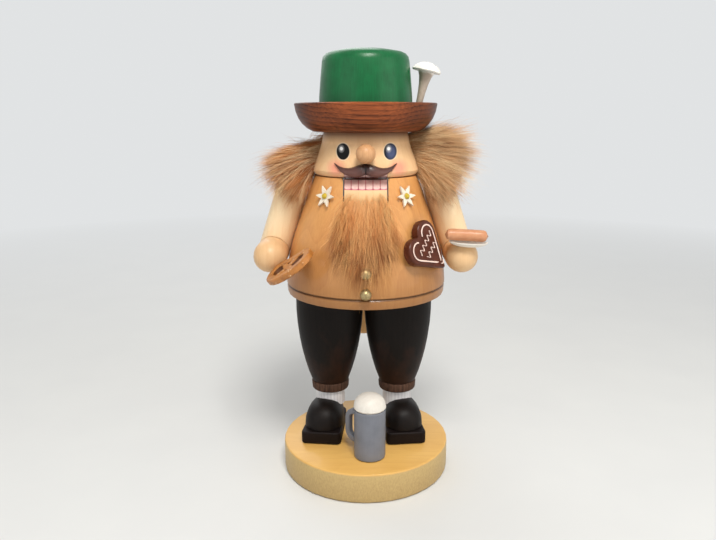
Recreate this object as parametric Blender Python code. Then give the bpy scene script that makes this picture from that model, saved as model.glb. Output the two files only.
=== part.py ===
"""Wooden nutcracker figure: a stout man in breeches and waistcoat on a round base.

Every turned or sawn piece of wood is its own solid. Jaw, neck and handle are one sawn
board, the lever, which turns on a steel pin through the two cheeks of the body.
Metres, +Z up; the figure looks along -Y, and the origin is the middle of the base's foot.
"""
import math

import bmesh
import bpy
from mathutils import Matrix, Vector

MM = 0.001
FIT = 0.3 * MM                 # gap between pieces that touch or are glued
RIGHT, LEFT = 1, -1            # the viewer's right is +X
SIDES_WIDE = 40                # facets round the base, body, head and hat
SIDES_LIMB = 22                # round legs, arms, mug and foam
SIDES_SMALL = 14               # round the nose, brush and other small turnings
SIDES_DOWEL = 10
SIDES_PIN = 28                 # the lever turns on it, so it is rounder
FIRST_FACET = math.radians(7)  # where a dowel's facets start, off the part's own planes

# Base, feet and legs
STANDS_BACK = 11.0 * MM        # axis of the figure, behind the middle of the base
LEGS_ASIDE = -1.3 * MM         # middle of the two legs, off the figure's axis
BASE_RADIUS = 52.9 * MM
BASE_HEIGHT = 19.0 * MM
BASE_EDGE = 1.2 * MM
SOLE_LENGTH = 43.0 * MM
SOLE_TOE_WIDTH = 25.2 * MM
SOLE_HEEL_WIDTH = 23.0 * MM
SOLE_THICKNESS = 7.9 * MM
FOOT_SPLAY = math.radians(6)
FOOT_OUTWARD = 2.9 * MM        # middle of the shoe, outward of the leg's axis
FOOT_AHEAD = 6.2 * MM          # middle of the shoe, in front of the leg's axis
UPPER_HEIGHT = 14.9 * MM
UPPER_WIDTH = 24.6 * MM
UPPER_FRONT = 14.4 * MM        # toe to the highest point of the upper
UPPER_BACK = 25.6 * MM         # highest point to the heel
LEG_SPACING = 44.0 * MM
SOCK_RADIUS = 9.4 * MM
SOCK_FOOT_RADIUS = 7.6 * MM
SOCK_FOOT_HEIGHT = 9.4 * MM
SOCK_HEIGHT = 19.2 * MM
CUFF_RADIUS = 12.3 * MM
CUFF_HEIGHT = 6.2 * MM
LEG_HEIGHT = 60.2 * MM
LEG_RADIUS = 21.5 * MM
LEG_KNEE_RADIUS = 12.0 * MM
LEG_FULL_LENGTH = 13.4 * MM    # straight stretch below the body
ANKLE_DOWEL_RADIUS = 2.5 * MM
ANKLE_DOWEL_IN_BASE = 9.0 * MM
ANKLE_DOWEL_IN_LEG = 15.0 * MM
HIP_DOWEL_RADIUS = 4.0 * MM
HIP_DOWEL_DEPTH = 11.0 * MM

# Body: a turned bell
BODY_HEIGHT = 73.0 * MM
BELLY_RADIUS = 49.9 * MM
SHOULDER_RADIUS = 32.5 * MM
HEM_HEIGHT = 6.0 * MM          # groove above the foot of the body
HEM_GROOVE = 0.8 * MM
BELL_START = 9.2 * MM
BELL_FULLNESS = 21.6 * MM
BELL_FLARE = 6.3 * MM
BELL_TAPER = 23.6 * MM

# Lever and its slot, in the plane across the pin
PIN_HEIGHT = 33.9 * MM         # above the foot of the body
PIN_RADIUS = 2.5 * MM
PIN_PLAY = 0.1 * MM            # radial, for running
PIN_END_SETBACK = 2.0 * MM
SLOT_WIDTH = 26.1 * MM
SLOT_SIDE_GAP = 0.5 * MM
SLOT_GAP = 0.6 * MM            # between the lever's swing and the floor of the slot
JAW_OPENING = math.radians(28)
JAW_CHIN_DROP = 15.8 * MM      # front of the jaw that is flush with the body
JAW_SWING_RADIUS = 42.1 * MM
JAW_HEEL_ANGLE = math.radians(-3)
JAW_WALL = 4.7 * MM            # tooth wall in front of the nut's pocket
POCKET_DEPTH = 17.0 * MM
POCKET_LENGTH = 23.6 * MM
NECK_HALF_HEIGHT = 11.8 * MM
NECK_HUB = 7.2 * MM
TAIL_GAP = 2.1 * MM
TAIL_THICKNESS = 8.2 * MM
TAIL_LENGTH = 83.2 * MM        # below the pin
TAIL_FLARE = 3.1 * MM
BOARD_EDGE = 0.5 * MM

# Head and face
HEAD_HEIGHT = 25.4 * MM
HEAD_RADIUS = 32.6 * MM
HEAD_TOP_RADIUS = 25.6 * MM
HEAD_ROUND = 3.3 * MM
NECK_DOWEL_RADIUS = 3.0 * MM
NECK_DOWEL_DEPTH = 9.0 * MM
NECK_DOWEL_SPACING = 43.0 * MM
NOSE_RADIUS = 5.7 * MM
NOSE_HEIGHT = 14.0 * MM        # above the mouth
NOSE_PEG_RADIUS = 1.6 * MM
NOSE_PEG_LENGTH = 6.2 * MM
MOUSTACHE_HALF_WIDTH = 18.1 * MM
MOUSTACHE_TIP_RISE = 8.3 * MM  # above the mouth
MOUSTACHE_LOBE_RISE = 0.9 * MM
MOUSTACHE_CROWN_RISE = 8.4 * MM
MOUSTACHE_THICKNESS = 3.7 * MM
MOUSTACHE_STATIONS = 8         # sections from the middle to each tip

# Hat
BRIM_HEIGHT = 16.6 * MM
BRIM_RADIUS = 43.1 * MM
BRIM_FOOT_RADIUS = 31.9 * MM
BRIM_RIM = 2.3 * MM
BRIM_FLOOR = 8.4 * MM
CROWN_HEIGHT = 39.3 * MM
CROWN_RADIUS = 28.5 * MM
CROWN_TOP_RADIUS = 26.1 * MM
CROWN_ROUND = 5.5 * MM
CROWN_DOME = 2.1 * MM
HAT_DOWEL_RADIUS = 5.1 * MM
HAT_DOWEL_DEPTH = 10.0 * MM
BRUSH_TILT = math.radians(12.4)
BRUSH_OUT = 31.0 * MM          # where the stem meets the brim, from the axis
BRUSH_BACK = 4.1 * MM
BRUSH_STEM_RADIUS = 1.7 * MM
BRUSH_NECK_RADIUS = 5.1 * MM
BRUSH_STEM_LENGTH = 25.5 * MM
BRUSH_CAP_RADIUS = 9.0 * MM
BRUSH_CAP_HEIGHT = 5.8 * MM

# Arms: the sleeve hangs at the side, the hand points forward from a mitred elbow
ELBOW_OUT = 57.7 * MM
ELBOW_HEIGHT = 25.9 * MM       # above the foot of the body
SLEEVE_SPREAD = math.radians(17.9)
SLEEVE_LENGTH = 44.7 * MM
SLEEVE_RADIUS = 9.9 * MM
SHOULDER_END_RADIUS = 9.8 * MM
HAND_RADIUS = 9.9 * MM
HAND_LENGTH = 30.8 * MM
ELBOW_DOWEL_RADIUS = 2.0 * MM
ELBOW_DOWEL_LENGTH = 11.0 * MM
SHOULDER_DOWEL_RADIUS = 2.5 * MM
SHOULDER_DOWEL_IN_BODY = 8.0 * MM
SHOULDER_DOWEL_IN_ARM = 8.0 * MM
SHOULDER_DOWEL_HEIGHT = 51.4 * MM

# What he holds and wears
PRETZEL_WIDTH = 35.4 * MM
PRETZEL_DEPTH = 24.7 * MM
PRETZEL_BAND = 5.3 * MM
PRETZEL_THICKNESS = 3.7 * MM
PRETZEL_ROLL = math.radians(-39)
PRETZEL_PITCH = math.radians(10)
PRETZEL_TURN = math.radians(-28)   # in its own plane: the far end comes forward, clear of the belly
PRETZEL_WAY = Vector((13.0, -18.8, -1.6)).normalized()   # from the middle of the hand's dome
PRETZEL_REACH = 15.0 * MM      # from the hand's surface to the middle of the pretzel
PLATE_LENGTH = 23.2 * MM
PLATE_DEPTH = 14.4 * MM
PLATE_OUT = 2.6 * MM            # middle of the plate, outward of the middle of the hand
PLATE_ROLL = math.radians(3)
PLATE_THICKNESS = 2.7 * MM
SAUSAGE_LENGTH = 25.7 * MM
SAUSAGE_RADIUS = 3.5 * MM
SAUSAGE_OUT = -1.5 * MM         # middle of the sausage, from the middle of the plate
SAUSAGE_BEND = 1.6 * MM
HEART_WIDTH = 29.8 * MM
HEART_LENGTH = 31.6 * MM
HEART_THICKNESS = 5.5 * MM
HEART_AZIMUTH = math.radians(46.5)
HEART_HEIGHT = 30.6 * MM       # above the foot of the body
HEART_TURN = math.radians(43)
BUTTON_RADIUS = 3.4 * MM
BUTTON_HEIGHTS = (21.5 * MM, 10.2 * MM)
FLOWER_RADIUS = 7.0 * MM
FLOWER_WAIST = 2.8 * MM
FLOWER_THICKNESS = 1.5 * MM
FLOWER_DROP = 10.6 * MM        # below the top of the body
FLOWER_HEIGHT = BODY_HEIGHT - FLOWER_DROP
FLOWER_OUT = 22.6 * MM
FLOWER_EYE_RADIUS = 1.8 * MM
MUG_RADIUS = 9.6 * MM
MUG_HEIGHT = 31.0 * MM
MUG_FOAM_RADIUS = 9.9 * MM
MUG_FOAM_HEIGHT = 9.2 * MM
MUG_RIGHT = 2.5 * MM           # middle of the mug, from the middle of the base
MUG_AHEAD = 30.0 * MM
MUG_HANDLE_AZIMUTH = math.radians(130)
MUG_HANDLE_REACH = 9.0 * MM
MUG_HANDLE_HEIGHT = 22.0 * MM
MUG_HANDLE_BAND = 3.4 * MM
MUG_HANDLE_THICKNESS = 4.0 * MM
MUG_HANDLE_CORNER = 5.5 * MM
MUG_HANDLE_DROP = 3.5 * MM     # below the mug's rim

# Fur
BEARD_TOP = 65.2 * MM          # above the foot of the body
BEARD_TIP = 25.9 * MM
BEARD_TOP_WIDTH = 26.7 * MM
BEARD_WIDTH = 39.0 * MM
BEARD_THICKNESS = 8.2 * MM
TUFT_REACH = 31.9 * MM
TUFT_ROOT_HEIGHT = 11.3 * MM   # above the mouth
TUFT_HALF_HEIGHT = 16.4 * MM
TUFT_HALF_DEPTH = 10.3 * MM
TUFT_DROOP = 13.4 * MM
BACK_HAIR_THICKNESS = 5.1 * MM
BACK_HAIR_HALF_ANGLE = math.radians(62)
BACK_HAIR_RISE = 3.1 * MM

# Heights that stack up from the floor
SOLE_FOOT = BASE_HEIGHT + FIT
SOLE_TOP = SOLE_FOOT + SOLE_THICKNESS
SOCK_FOOT = SOLE_TOP + FIT
SOCK_TOP = SOCK_FOOT + SOCK_HEIGHT
CUFF_FOOT = SOCK_TOP + FIT
CUFF_TOP = CUFF_FOOT + CUFF_HEIGHT
LEG_FOOT = CUFF_TOP + FIT
LEG_TOP = LEG_FOOT + LEG_HEIGHT
BODY_FOOT = LEG_TOP + FIT
BODY_TOP = BODY_FOOT + BODY_HEIGHT
MOUTH = BODY_TOP + FIT
HEAD_TOP = MOUTH + HEAD_HEIGHT
BRIM_FOOT = HEAD_TOP + FIT
BRIM_TOP = BRIM_FOOT + BRIM_HEIGHT
CROWN_FOOT = BRIM_FOOT + BRIM_FLOOR + FIT
PIN = Vector((0, 0, BODY_FOOT + PIN_HEIGHT))
LEVER_WIDTH = SLOT_WIDTH - 2 * SLOT_SIDE_GAP

UP = Vector((0, 0, 1))


def clear_scene():
    """Start from an empty scene."""
    for thing in list(bpy.data.objects):
        bpy.data.objects.remove(thing, do_unlink=True)


def material(name, colour, roughness, metallic=0.0):
    """A plain finish, made once for each name."""
    made = bpy.data.materials.get(name) or bpy.data.materials.new(name)
    made.use_nodes = True
    shader = made.node_tree.nodes["Principled BSDF"]
    shader.inputs["Base Color"].default_value = (*colour, 1)
    shader.inputs["Roughness"].default_value = roughness
    shader.inputs["Metallic"].default_value = metallic
    made.diffuse_color = (*colour, 1)
    return made


def piece(name, bm, finish=None):
    """Turn a bmesh into a named object, smooth on its round stretches."""
    bmesh.ops.remove_doubles(bm, verts=bm.verts, dist=0.002 * MM)
    bmesh.ops.recalc_face_normals(bm, faces=bm.faces)
    mesh = bpy.data.meshes.new(name)
    bm.to_mesh(mesh)
    bm.free()
    mesh.shade_smooth()
    mesh.set_sharp_from_angle(angle=math.radians(32))
    made = bpy.data.objects.new(name, mesh)
    bpy.context.scene.collection.objects.link(made)
    if finish:
        mesh.materials.append(finish)
    return made


def cutter(made):
    """Mark an object as a tool that only cuts others."""
    made.hide_render = True
    made.display_type = "WIRE"
    return made


def cut(target, tool):
    """Take the cutter's space out of the target."""
    change = target.modifiers.new("cut " + tool.name, "BOOLEAN")
    change.operation = "DIFFERENCE"
    change.solver = "EXACT"
    change.object = tool


def aim(made, place, direction=UP):
    """Stand the object at a place with its own +Z along a direction."""
    made.matrix_world = Matrix.Translation(place) @ direction.to_track_quat("Z", "Y").to_matrix().to_4x4()
    return made


def turned_mesh(outline, sides):
    """Spin an outline of (radius, height) pairs, listed from the top down."""
    bm = bmesh.new()
    turn = FIRST_FACET if sides in (SIDES_DOWEL, SIDES_PIN) else 0.0
    first = Vector((math.cos(turn), math.sin(turn), 0))
    verts = [bm.verts.new(first * radius + UP * height) for radius, height in outline]
    edges = [bm.edges.new(pair) for pair in zip(verts, verts[1:])]
    bmesh.ops.spin(bm, geom=verts + edges, cent=(0, 0, 0), axis=UP, angle=2 * math.pi,
                   steps=sides, use_merge=True)
    return bm


def turned(name, outline, sides, finish=None, place=Vector(), direction=UP):
    """A turned object that stands at a place along a direction."""
    return aim(piece(name, turned_mesh(outline, sides), finish), place, direction)


def rod_outline(radius, top, bottom, edge=0.0):
    """Outline of a plain round rod with small broken edges."""
    if not edge:
        return [(0, top), (radius, top), (radius, bottom), (0, bottom)]
    return [(0, top), (radius - edge, top), (radius, top - edge),
            (radius, bottom + edge), (radius - edge, bottom), (0, bottom)]


def dowel(name, radius, start, end, finish, sides=SIDES_DOWEL):
    """A dowel between two points."""
    length = (end - start).length
    return turned(name, rod_outline(radius, length, 0), sides, finish, start, end - start)


def bore(name, radius, start, end, gap=FIT, sides=SIDES_DOWEL):
    """A cutter for the hole that a dowel or pin goes into, longer at both ends by the fit."""
    way = (end - start).normalized()
    length = (end - start).length
    hole = turned(name, rod_outline(radius + gap, length + FIT, -FIT), sides, None, start, way)
    return cutter(hole)


def arc(centre, radius, start, end, count):
    """Points of an arc in the (radius, height) plane, between two angles."""
    turns = [start + (end - start) * index / count for index in range(count + 1)]
    return [(centre[0] + radius * math.cos(turn), centre[1] + radius * math.sin(turn)) for turn in turns]


def bezier(points, count):
    """Points of a cubic curve, its two ends included."""
    a, b, c, d = (Vector(point) for point in points)
    made = []
    for index in range(count + 1):
        t = index / count
        s = 1 - t
        made.append(tuple(a * s ** 3 + b * 3 * s * s * t + c * 3 * s * t * t + d * t ** 3))
    return made


def skin(name, rings, finish=None):
    """Join rings of equal size into one closed solid with a face over each end."""
    bm = bmesh.new()
    loops = [[bm.verts.new(point) for point in ring] for ring in rings]
    for lower, upper in zip(loops, loops[1:]):
        for index in range(len(lower)):
            after = (index + 1) % len(lower)
            bm.faces.new((lower[index], lower[after], upper[after], upper[index]))
    bm.faces.new(loops[0])
    bm.faces.new(reversed(loops[-1]))
    return piece(name, bm, finish)


BELL = (
    (BELLY_RADIUS, BELL_START),
    (BELLY_RADIUS - 0.6 * MM, BELL_START + BELL_FULLNESS),
    (SHOULDER_RADIUS + BELL_FLARE, BODY_HEIGHT - BELL_TAPER),
    (SHOULDER_RADIUS, BODY_HEIGHT),
)


def radius_on(curve, height):
    """Radius at which a cubic outline passes a height, found by halving."""
    ends = sorted((curve[0], curve[-1]), key=lambda point: point[1])
    if height <= ends[0][1]:
        return ends[0][0]
    if height >= ends[1][1]:
        return ends[1][0]
    rising = curve[-1][1] > curve[0][1]
    low, high = 0.0, 1.0
    a, b, c, d = (Vector(point) for point in curve)
    for _ in range(24):
        t = (low + high) / 2
        s = 1 - t
        point = a * s ** 3 + b * 3 * s * s * t + c * 3 * s * t * t + d * t ** 3
        if (point[1] < height) == rising:
            low = t
        else:
            high = t
    return point[0]


def bell_radius(z):
    """Radius of the body's outside at a height above the floor."""
    return radius_on(BELL, z - BODY_FOOT)


HEAD_SIDE = (
    (HEAD_TOP_RADIUS, HEAD_HEIGHT),
    (HEAD_TOP_RADIUS + 0.7 * MM, HEAD_HEIGHT - 8.5 * MM),
    (HEAD_RADIUS - 1.7 * MM, HEAD_ROUND + 6.0 * MM),
    (HEAD_RADIUS, HEAD_ROUND),
)


def head_radius(z):
    """Radius of the head's outside at a height above the floor."""
    return radius_on(HEAD_SIDE, z - MOUTH)


def on_body(azimuth, height, lift):
    """Point outside the body at an azimuth from -Y, and the frame (right, up, out) there."""
    z = BODY_FOOT + height
    step = 0.5 * MM
    slope = math.atan2(bell_radius(z - step) - bell_radius(z + step), 2 * step)
    flat = Vector((math.sin(azimuth), -math.cos(azimuth), 0))
    out = flat * math.cos(slope) + UP * math.sin(slope)
    right = Vector((math.cos(azimuth), math.sin(azimuth), 0))
    upward = out.cross(right)
    place = flat * bell_radius(z) + UP * z + out * lift
    return place, right, upward, out


def set_frame(made, place, right, upward, out):
    """Set the object at a place with its own axes along the three directions."""
    made.matrix_world = Matrix((
        (right.x, upward.x, out.x, place.x),
        (right.y, upward.y, out.y, place.y),
        (right.z, upward.z, out.z, place.z),
        (0, 0, 0, 1),
    ))
    return made


def side_name(stem, side):
    """The name of the piece on one side."""
    return stem + ("_right" if side == RIGHT else "_left")


def make_base(wood):
    """The round base, bored for the ankle dowels."""
    quarter = math.pi / 2
    outline = [(0, BASE_HEIGHT)]
    outline += arc((BASE_RADIUS - BASE_EDGE, BASE_HEIGHT - BASE_EDGE), BASE_EDGE, quarter, 0, 2)
    outline += arc((BASE_RADIUS - BASE_EDGE, BASE_EDGE), BASE_EDGE, 0, -quarter, 1)
    outline += [(0, 0)]
    base = turned("base_plate", outline, SIDES_WIDE, wood)
    for side in (LEFT, RIGHT):
        cut(base, ankle_bore("base", side))


def leg_x(side):
    """Where a leg's axis stands across the figure."""
    return LEGS_ASIDE + side * LEG_SPACING / 2


def ankle_ends(side):
    """Both ends of the dowel that holds base, sole, sock, cuff and leg together."""
    foot = Vector((leg_x(side), 0, BASE_HEIGHT - ANKLE_DOWEL_IN_BASE))
    head = Vector((leg_x(side), 0, LEG_FOOT + ANKLE_DOWEL_IN_LEG))
    return foot, head


def ankle_bore(owner, side):
    """Cutter for one piece's share of the ankle dowel's hole."""
    return bore(side_name("bore_ankle_" + owner, side), ANKLE_DOWEL_RADIUS, *ankle_ends(side))


def foot_frame(side):
    """Matrix that takes a foot's own plan, toe towards -Y, to its place."""
    middle = Vector((leg_x(side) + side * FOOT_OUTWARD, -FOOT_AHEAD, 0))
    return Matrix.Translation(middle) @ Matrix.Rotation(side * FOOT_SPLAY, 4, "Z")


def sole_outline():
    """Plan of a sole: square toe with small corners, narrower heel with larger ones."""
    toe, heel, half = SOLE_TOE_WIDTH / 2, SOLE_HEEL_WIDTH / 2, SOLE_LENGTH / 2
    toe_corner, heel_corner = 2.6 * MM, 7.0 * MM
    quarter = math.pi / 2
    points = arc((toe - toe_corner, -half + toe_corner), toe_corner, -quarter, 0, 3)
    points += arc((heel - heel_corner, half - heel_corner), heel_corner, 0, quarter, 4)
    points += [(-x, y) for x, y in reversed(points)]
    return points


def make_sole(side, finish):
    edge = 0.6 * MM
    outline = sole_outline()
    rings = []
    for height, eased in ((0, edge), (edge, 0), (SOLE_THICKNESS - edge, 0), (SOLE_THICKNESS, edge)):
        factors = (1 - 2 * eased / SOLE_TOE_WIDTH, 1 - 2 * eased / SOLE_LENGTH)
        rings.append([Vector((x * factors[0], y * factors[1], height)) for x, y in outline])
    sole = skin(side_name("shoe_sole", side), rings, finish)
    sole.matrix_world = Matrix.Translation(UP * SOLE_FOOT) @ foot_frame(side)
    cut(sole, ankle_bore("sole", side))


def swell(share, power=2.4):
    """Half-width of a full rounded form at a share of its length, 0 at the middle."""
    return max(0.0, 1 - abs(share) ** power) ** (1 / power)


def make_upper(side, finish):
    """The shoe's upper: a full half egg, its highest point where the sock goes in."""
    front, back = UPPER_FRONT, UPPER_BACK
    top_at = front - (front + back) / 2
    rings = []
    across = 10
    shares = [math.sin(math.pi / 2 * index / 5) for index in range(-5, 6)]
    for share in shares:
        y = top_at + share * (front if share < 0 else back)
        size = max(swell(share), 0.04)
        ring = []
        for index in range(across + 1):
            turn = math.pi * index / across
            x = math.copysign(abs(math.cos(turn)) ** 0.84, math.cos(turn))
            z = math.sin(turn) ** 0.84
            ring.append(Vector((size * UPPER_WIDTH / 2 * x, y, size * UPPER_HEIGHT * z)))
        rings.append(ring)
    upper = skin(side_name("shoe_upper", side), rings, finish)
    upper.matrix_world = Matrix.Translation(UP * SOCK_FOOT) @ foot_frame(side)
    axis = Vector((leg_x(side), 0, SOCK_FOOT))
    hole = turned(side_name("bore_sock", side), [
        (0, UPPER_HEIGHT + 9 * MM), (SOCK_RADIUS + FIT, UPPER_HEIGHT + 9 * MM),
        (SOCK_RADIUS + FIT, SOCK_FOOT_HEIGHT - FIT), (SOCK_FOOT_RADIUS + FIT, SOCK_FOOT_HEIGHT - FIT),
        (SOCK_FOOT_RADIUS + FIT, -9 * MM), (0, -9 * MM)], SIDES_LIMB, None, axis)
    cut(upper, cutter(hole))


def make_leg(side, shoe, sock_paint, cuff_wood, leg_wood, dowel_wood):
    """Shoe, sock, cuff, leg and their dowels; gives back the cutter of the hip dowel."""
    axis = Vector((leg_x(side), 0, 0))
    make_sole(side, shoe)
    make_upper(side, shoe)
    sock = turned(side_name("sock", side), [
        (0, SOCK_HEIGHT), (SOCK_RADIUS, SOCK_HEIGHT), (SOCK_RADIUS, SOCK_FOOT_HEIGHT),
        (SOCK_FOOT_RADIUS, SOCK_FOOT_HEIGHT), (SOCK_FOOT_RADIUS, 0), (0, 0)],
        SIDES_LIMB, sock_paint, axis + UP * SOCK_FOOT)
    cuff_edge = 1.3 * MM
    outline = [(0, CUFF_HEIGHT)]
    outline += arc((CUFF_RADIUS - cuff_edge, CUFF_HEIGHT - cuff_edge), cuff_edge, math.pi / 2, 0, 2)
    outline += arc((CUFF_RADIUS - cuff_edge - 0.3 * MM, cuff_edge), cuff_edge, 0, -math.pi / 2, 2)
    outline += [(0, 0)]
    cuff = turned(side_name("cuff", side), outline, SIDES_LIMB, cuff_wood, axis + UP * CUFF_FOOT)
    full = LEG_HEIGHT - LEG_FULL_LENGTH
    side_curve = bezier(((LEG_RADIUS, full), (LEG_RADIUS - 0.6 * MM, full - 17 * MM),
                         (LEG_KNEE_RADIUS + 5.0 * MM, 12.5 * MM), (LEG_KNEE_RADIUS, 0)), 6)
    outline = [(0, LEG_HEIGHT), (LEG_RADIUS - 0.5 * MM, LEG_HEIGHT), (LEG_RADIUS, LEG_HEIGHT - 0.5 * MM)]
    outline += side_curve + [(0, 0)]
    leg = turned(side_name("leg", side), outline, SIDES_LIMB, leg_wood, axis + UP * LEG_FOOT)
    for owner, wood in (("sock", sock), ("cuff", cuff), ("leg", leg)):
        cut(wood, ankle_bore(owner, side))
    foot, head = ankle_ends(side)
    dowel(side_name("ankle_dowel", side), ANKLE_DOWEL_RADIUS, foot, head, dowel_wood)
    start = axis + UP * (LEG_TOP - HIP_DOWEL_DEPTH)
    end = axis + UP * (BODY_FOOT + HIP_DOWEL_DEPTH)
    dowel(side_name("hip_dowel", side), HIP_DOWEL_RADIUS, start, end, dowel_wood)
    hole = bore(side_name("bore_hip", side), HIP_DOWEL_RADIUS, start, end)
    cut(leg, hole)
    return hole


def body_outline(grow=0.0):
    """Turned outline of the body from the top down; grow moves it outward for cutters."""
    edge = 1.2 * MM
    side = bezier(BELL, 9)[::-1]
    outline = [(0, BODY_HEIGHT + grow), (SHOULDER_RADIUS - edge + grow, BODY_HEIGHT + grow)]
    outline += [(radius + grow, height) for radius, height in side if height < BODY_HEIGHT - edge]
    if grow:
        return outline + [(BELLY_RADIUS + grow, -grow), (0, -grow)]
    outline += [(BELLY_RADIUS, HEM_HEIGHT + HEM_GROOVE), (BELLY_RADIUS - HEM_GROOVE, HEM_HEIGHT),
                (BELLY_RADIUS - 0.2 * MM, HEM_HEIGHT - HEM_GROOVE)]
    outline += arc((BELLY_RADIUS - edge - 0.5 * MM, edge), edge, 0, -math.pi / 2, 2)
    return outline + [(0, 0)]


def turn_about_pin(point, angle):
    """Turn a (y, z) point about the pin; positive opens the jaw."""
    c, s = math.cos(angle), math.sin(angle)
    return (point[0] * c - point[1] * s, point[0] * s + point[1] * c)


def swing_point(radius, angle):
    """Point in front of the pin, the angle counted up from the level line."""
    return (-radius * math.cos(angle), radius * math.sin(angle))


HUB_FRONT = (-NECK_HUB - 2 * MM, -NECK_HALF_HEIGHT + 0.5 * MM)
HUB_BACK = (NECK_HUB, -NECK_HALF_HEIGHT)


def make_slot_cutter():
    """The saw cut for the lever: open above, in front and behind, with a stepped floor."""
    lift = BODY_TOP - PIN.z + 20 * MM
    reach = BELLY_RADIUS + 20 * MM
    radius = JAW_SWING_RADIUS + SLOT_GAP
    lip = lip_height()
    first = math.asin(lip / radius)
    last = JAW_HEEL_ANGLE - JAW_OPENING
    turns = [first + (last - first) * index / 7 for index in range(8)]
    floor = [swing_point(radius, turn) for turn in turns]
    heel = floor[-1]
    hub = turn_about_pin(HUB_FRONT, JAW_OPENING)
    gap = 1.6 * SLOT_GAP
    outline = [(-reach, lift), (-reach, lip)] + floor
    outline += [(heel[0] + gap, heel[1] - 2 * gap), (hub[0], -math.hypot(*HUB_FRONT) - gap),
                (HUB_BACK[0] - 4 * MM, HUB_BACK[1] - 2.2 * gap), (HUB_BACK[0], HUB_BACK[1] - gap),
                (reach, HUB_BACK[1] - gap), (reach, lift)]
    half = SLOT_WIDTH / 2
    rings = [[Vector((x, y, z)) + PIN for y, z in outline] for x in (-half, half)]
    return cutter(skin("slot", rings))


def chin_height():
    """Lower end of the jaw's flush front, above the pin."""
    return BODY_TOP - FIT - JAW_CHIN_DROP - PIN.z


def lip_height():
    """Front edge of the slot's floor above the pin: just clear of the open chin."""
    chin = chin_height()
    front = (-bell_radius(PIN.z + chin), chin)
    return turn_about_pin(front, JAW_OPENING)[1] - SLOT_GAP


def make_body(wood, holes):
    """The turned bell, sawn out for the lever and bored for pin and dowels."""
    body = turned("body", body_outline(), SIDES_WIDE, wood, UP * BODY_FOOT)
    cut(body, make_slot_cutter())
    for hole in holes:
        cut(body, hole)
    return body


def lever_front(x):
    """Front of the jaw at one distance from the middle, from the mouth to the heel."""
    chin = chin_height()
    top = BODY_TOP - FIT - PIN.z
    heel = JAW_SWING_RADIUS * math.sin(JAW_HEEL_ANGLE)
    points = []
    for index in range(5):
        z = top + (chin - top) * index / 4
        points.append((-math.sqrt(bell_radius(PIN.z + z) ** 2 - x * x), z))
    for index in range(7):
        z = chin - 0.8 * MM + (heel - chin + 0.8 * MM) * index / 6
        swing = math.sqrt(JAW_SWING_RADIUS ** 2 - z * z)
        bell = math.sqrt(bell_radius(PIN.z + z) ** 2 - x * x)
        points.append((-min(swing, bell), z))
    return points


def tail_outline():
    """Neck and tail behind the pin, from the hub's underside round to the pocket."""
    inner = BELLY_RADIUS + TAIL_GAP
    outer = inner + TAIL_THICKNESS
    under, over = -NECK_HALF_HEIGHT, NECK_HALF_HEIGHT
    corner = 3.0 * MM
    end = -TAIL_LENGTH
    points = [HUB_FRONT, HUB_BACK, (inner - corner, under)]
    points += bezier(((inner, under - corner), (inner, under - 30 * MM), (inner, end + 26 * MM),
                      (inner + TAIL_FLARE, end + 2 * MM)), 6)
    points += [(inner + TAIL_FLARE + 2 * MM, end), (outer + TAIL_FLARE - 2.5 * MM, end)]
    points += bezier(((outer + TAIL_FLARE, end + 2.5 * MM), (outer, end + 26 * MM),
                      (outer, under - 24 * MM), (outer, under + 4 * MM)), 6)
    points += [(outer - 1.0 * MM, over - 8 * MM), (outer - 4.5 * MM, over - 2.5 * MM),
               (inner - 2 * MM, over), (NECK_HUB + 8 * MM, over)]
    return points


def pocket_outline():
    """Hollow that holds the nut, from behind the pin to the back of the tooth wall."""
    top = BODY_TOP - FIT - PIN.z
    floor = top - POCKET_DEPTH
    front = -SHOULDER_RADIUS + JAW_WALL
    back = front + POCKET_LENGTH
    ridge = [(back + 4.5 * MM, floor + 3.5 * MM), (back, floor + 4.5 * MM)]
    hollow = [(back - 4.5 * MM, floor + 1.0 * MM), (back - 9.5 * MM, floor),
              (front + 4.0 * MM, floor + 0.8 * MM)]
    wall = [(front + 0.8 * MM, floor + 4.0 * MM), (front, floor + 9.0 * MM), (front, top)]
    return ridge + hollow + wall


def make_lever(wood, pin_hole):
    """One board: its front is rounded with the body, the rest is as the saw left it."""
    half = LEVER_WIDTH / 2
    stations = [-half, -half + BOARD_EDGE, -half * 0.66, -half * 0.33, 0,
                half * 0.33, half * 0.66, half - BOARD_EDGE, half]
    rings = []
    for x in stations:
        outline = lever_front(x) + tail_outline() + pocket_outline()
        if abs(x) == half:
            outline = inset(outline, BOARD_EDGE)
        rings.append([Vector((x, y, z)) + PIN for y, z in outline])
    lever = skin("lever", rings, wood)
    cut(lever, pin_hole)
    return lever


def inset(outline, distance):
    """Move each corner of a closed outline inwards, towards the wood."""
    area = sum(a[0] * b[1] - b[0] * a[1] for a, b in zip(outline, outline[1:] + outline[:1]))
    turn = 1 if area > 0 else -1
    moved = []
    for index, here in enumerate(outline):
        before, after = outline[index - 1], outline[(index + 1) % len(outline)]
        normals = []
        for start, end in ((before, here), (here, after)):
            run = Vector((end[0] - start[0], end[1] - start[1])).normalized()
            normals.append(Vector((-run.y, run.x)) * turn)
        middle = (normals[0] + normals[1]).normalized()
        shift = middle * distance / max(0.6, middle.dot(normals[0]))
        moved.append((here[0] + shift.x, here[1] + shift.y))
    return moved


def pin_ends():
    """Both ends of the pin, just inside the body's outside."""
    reach = math.sqrt(bell_radius(PIN.z) ** 2 - PIN_RADIUS ** 2) - PIN_END_SETBACK
    return PIN - Vector((reach, 0, 0)), PIN + Vector((reach, 0, 0))


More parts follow.
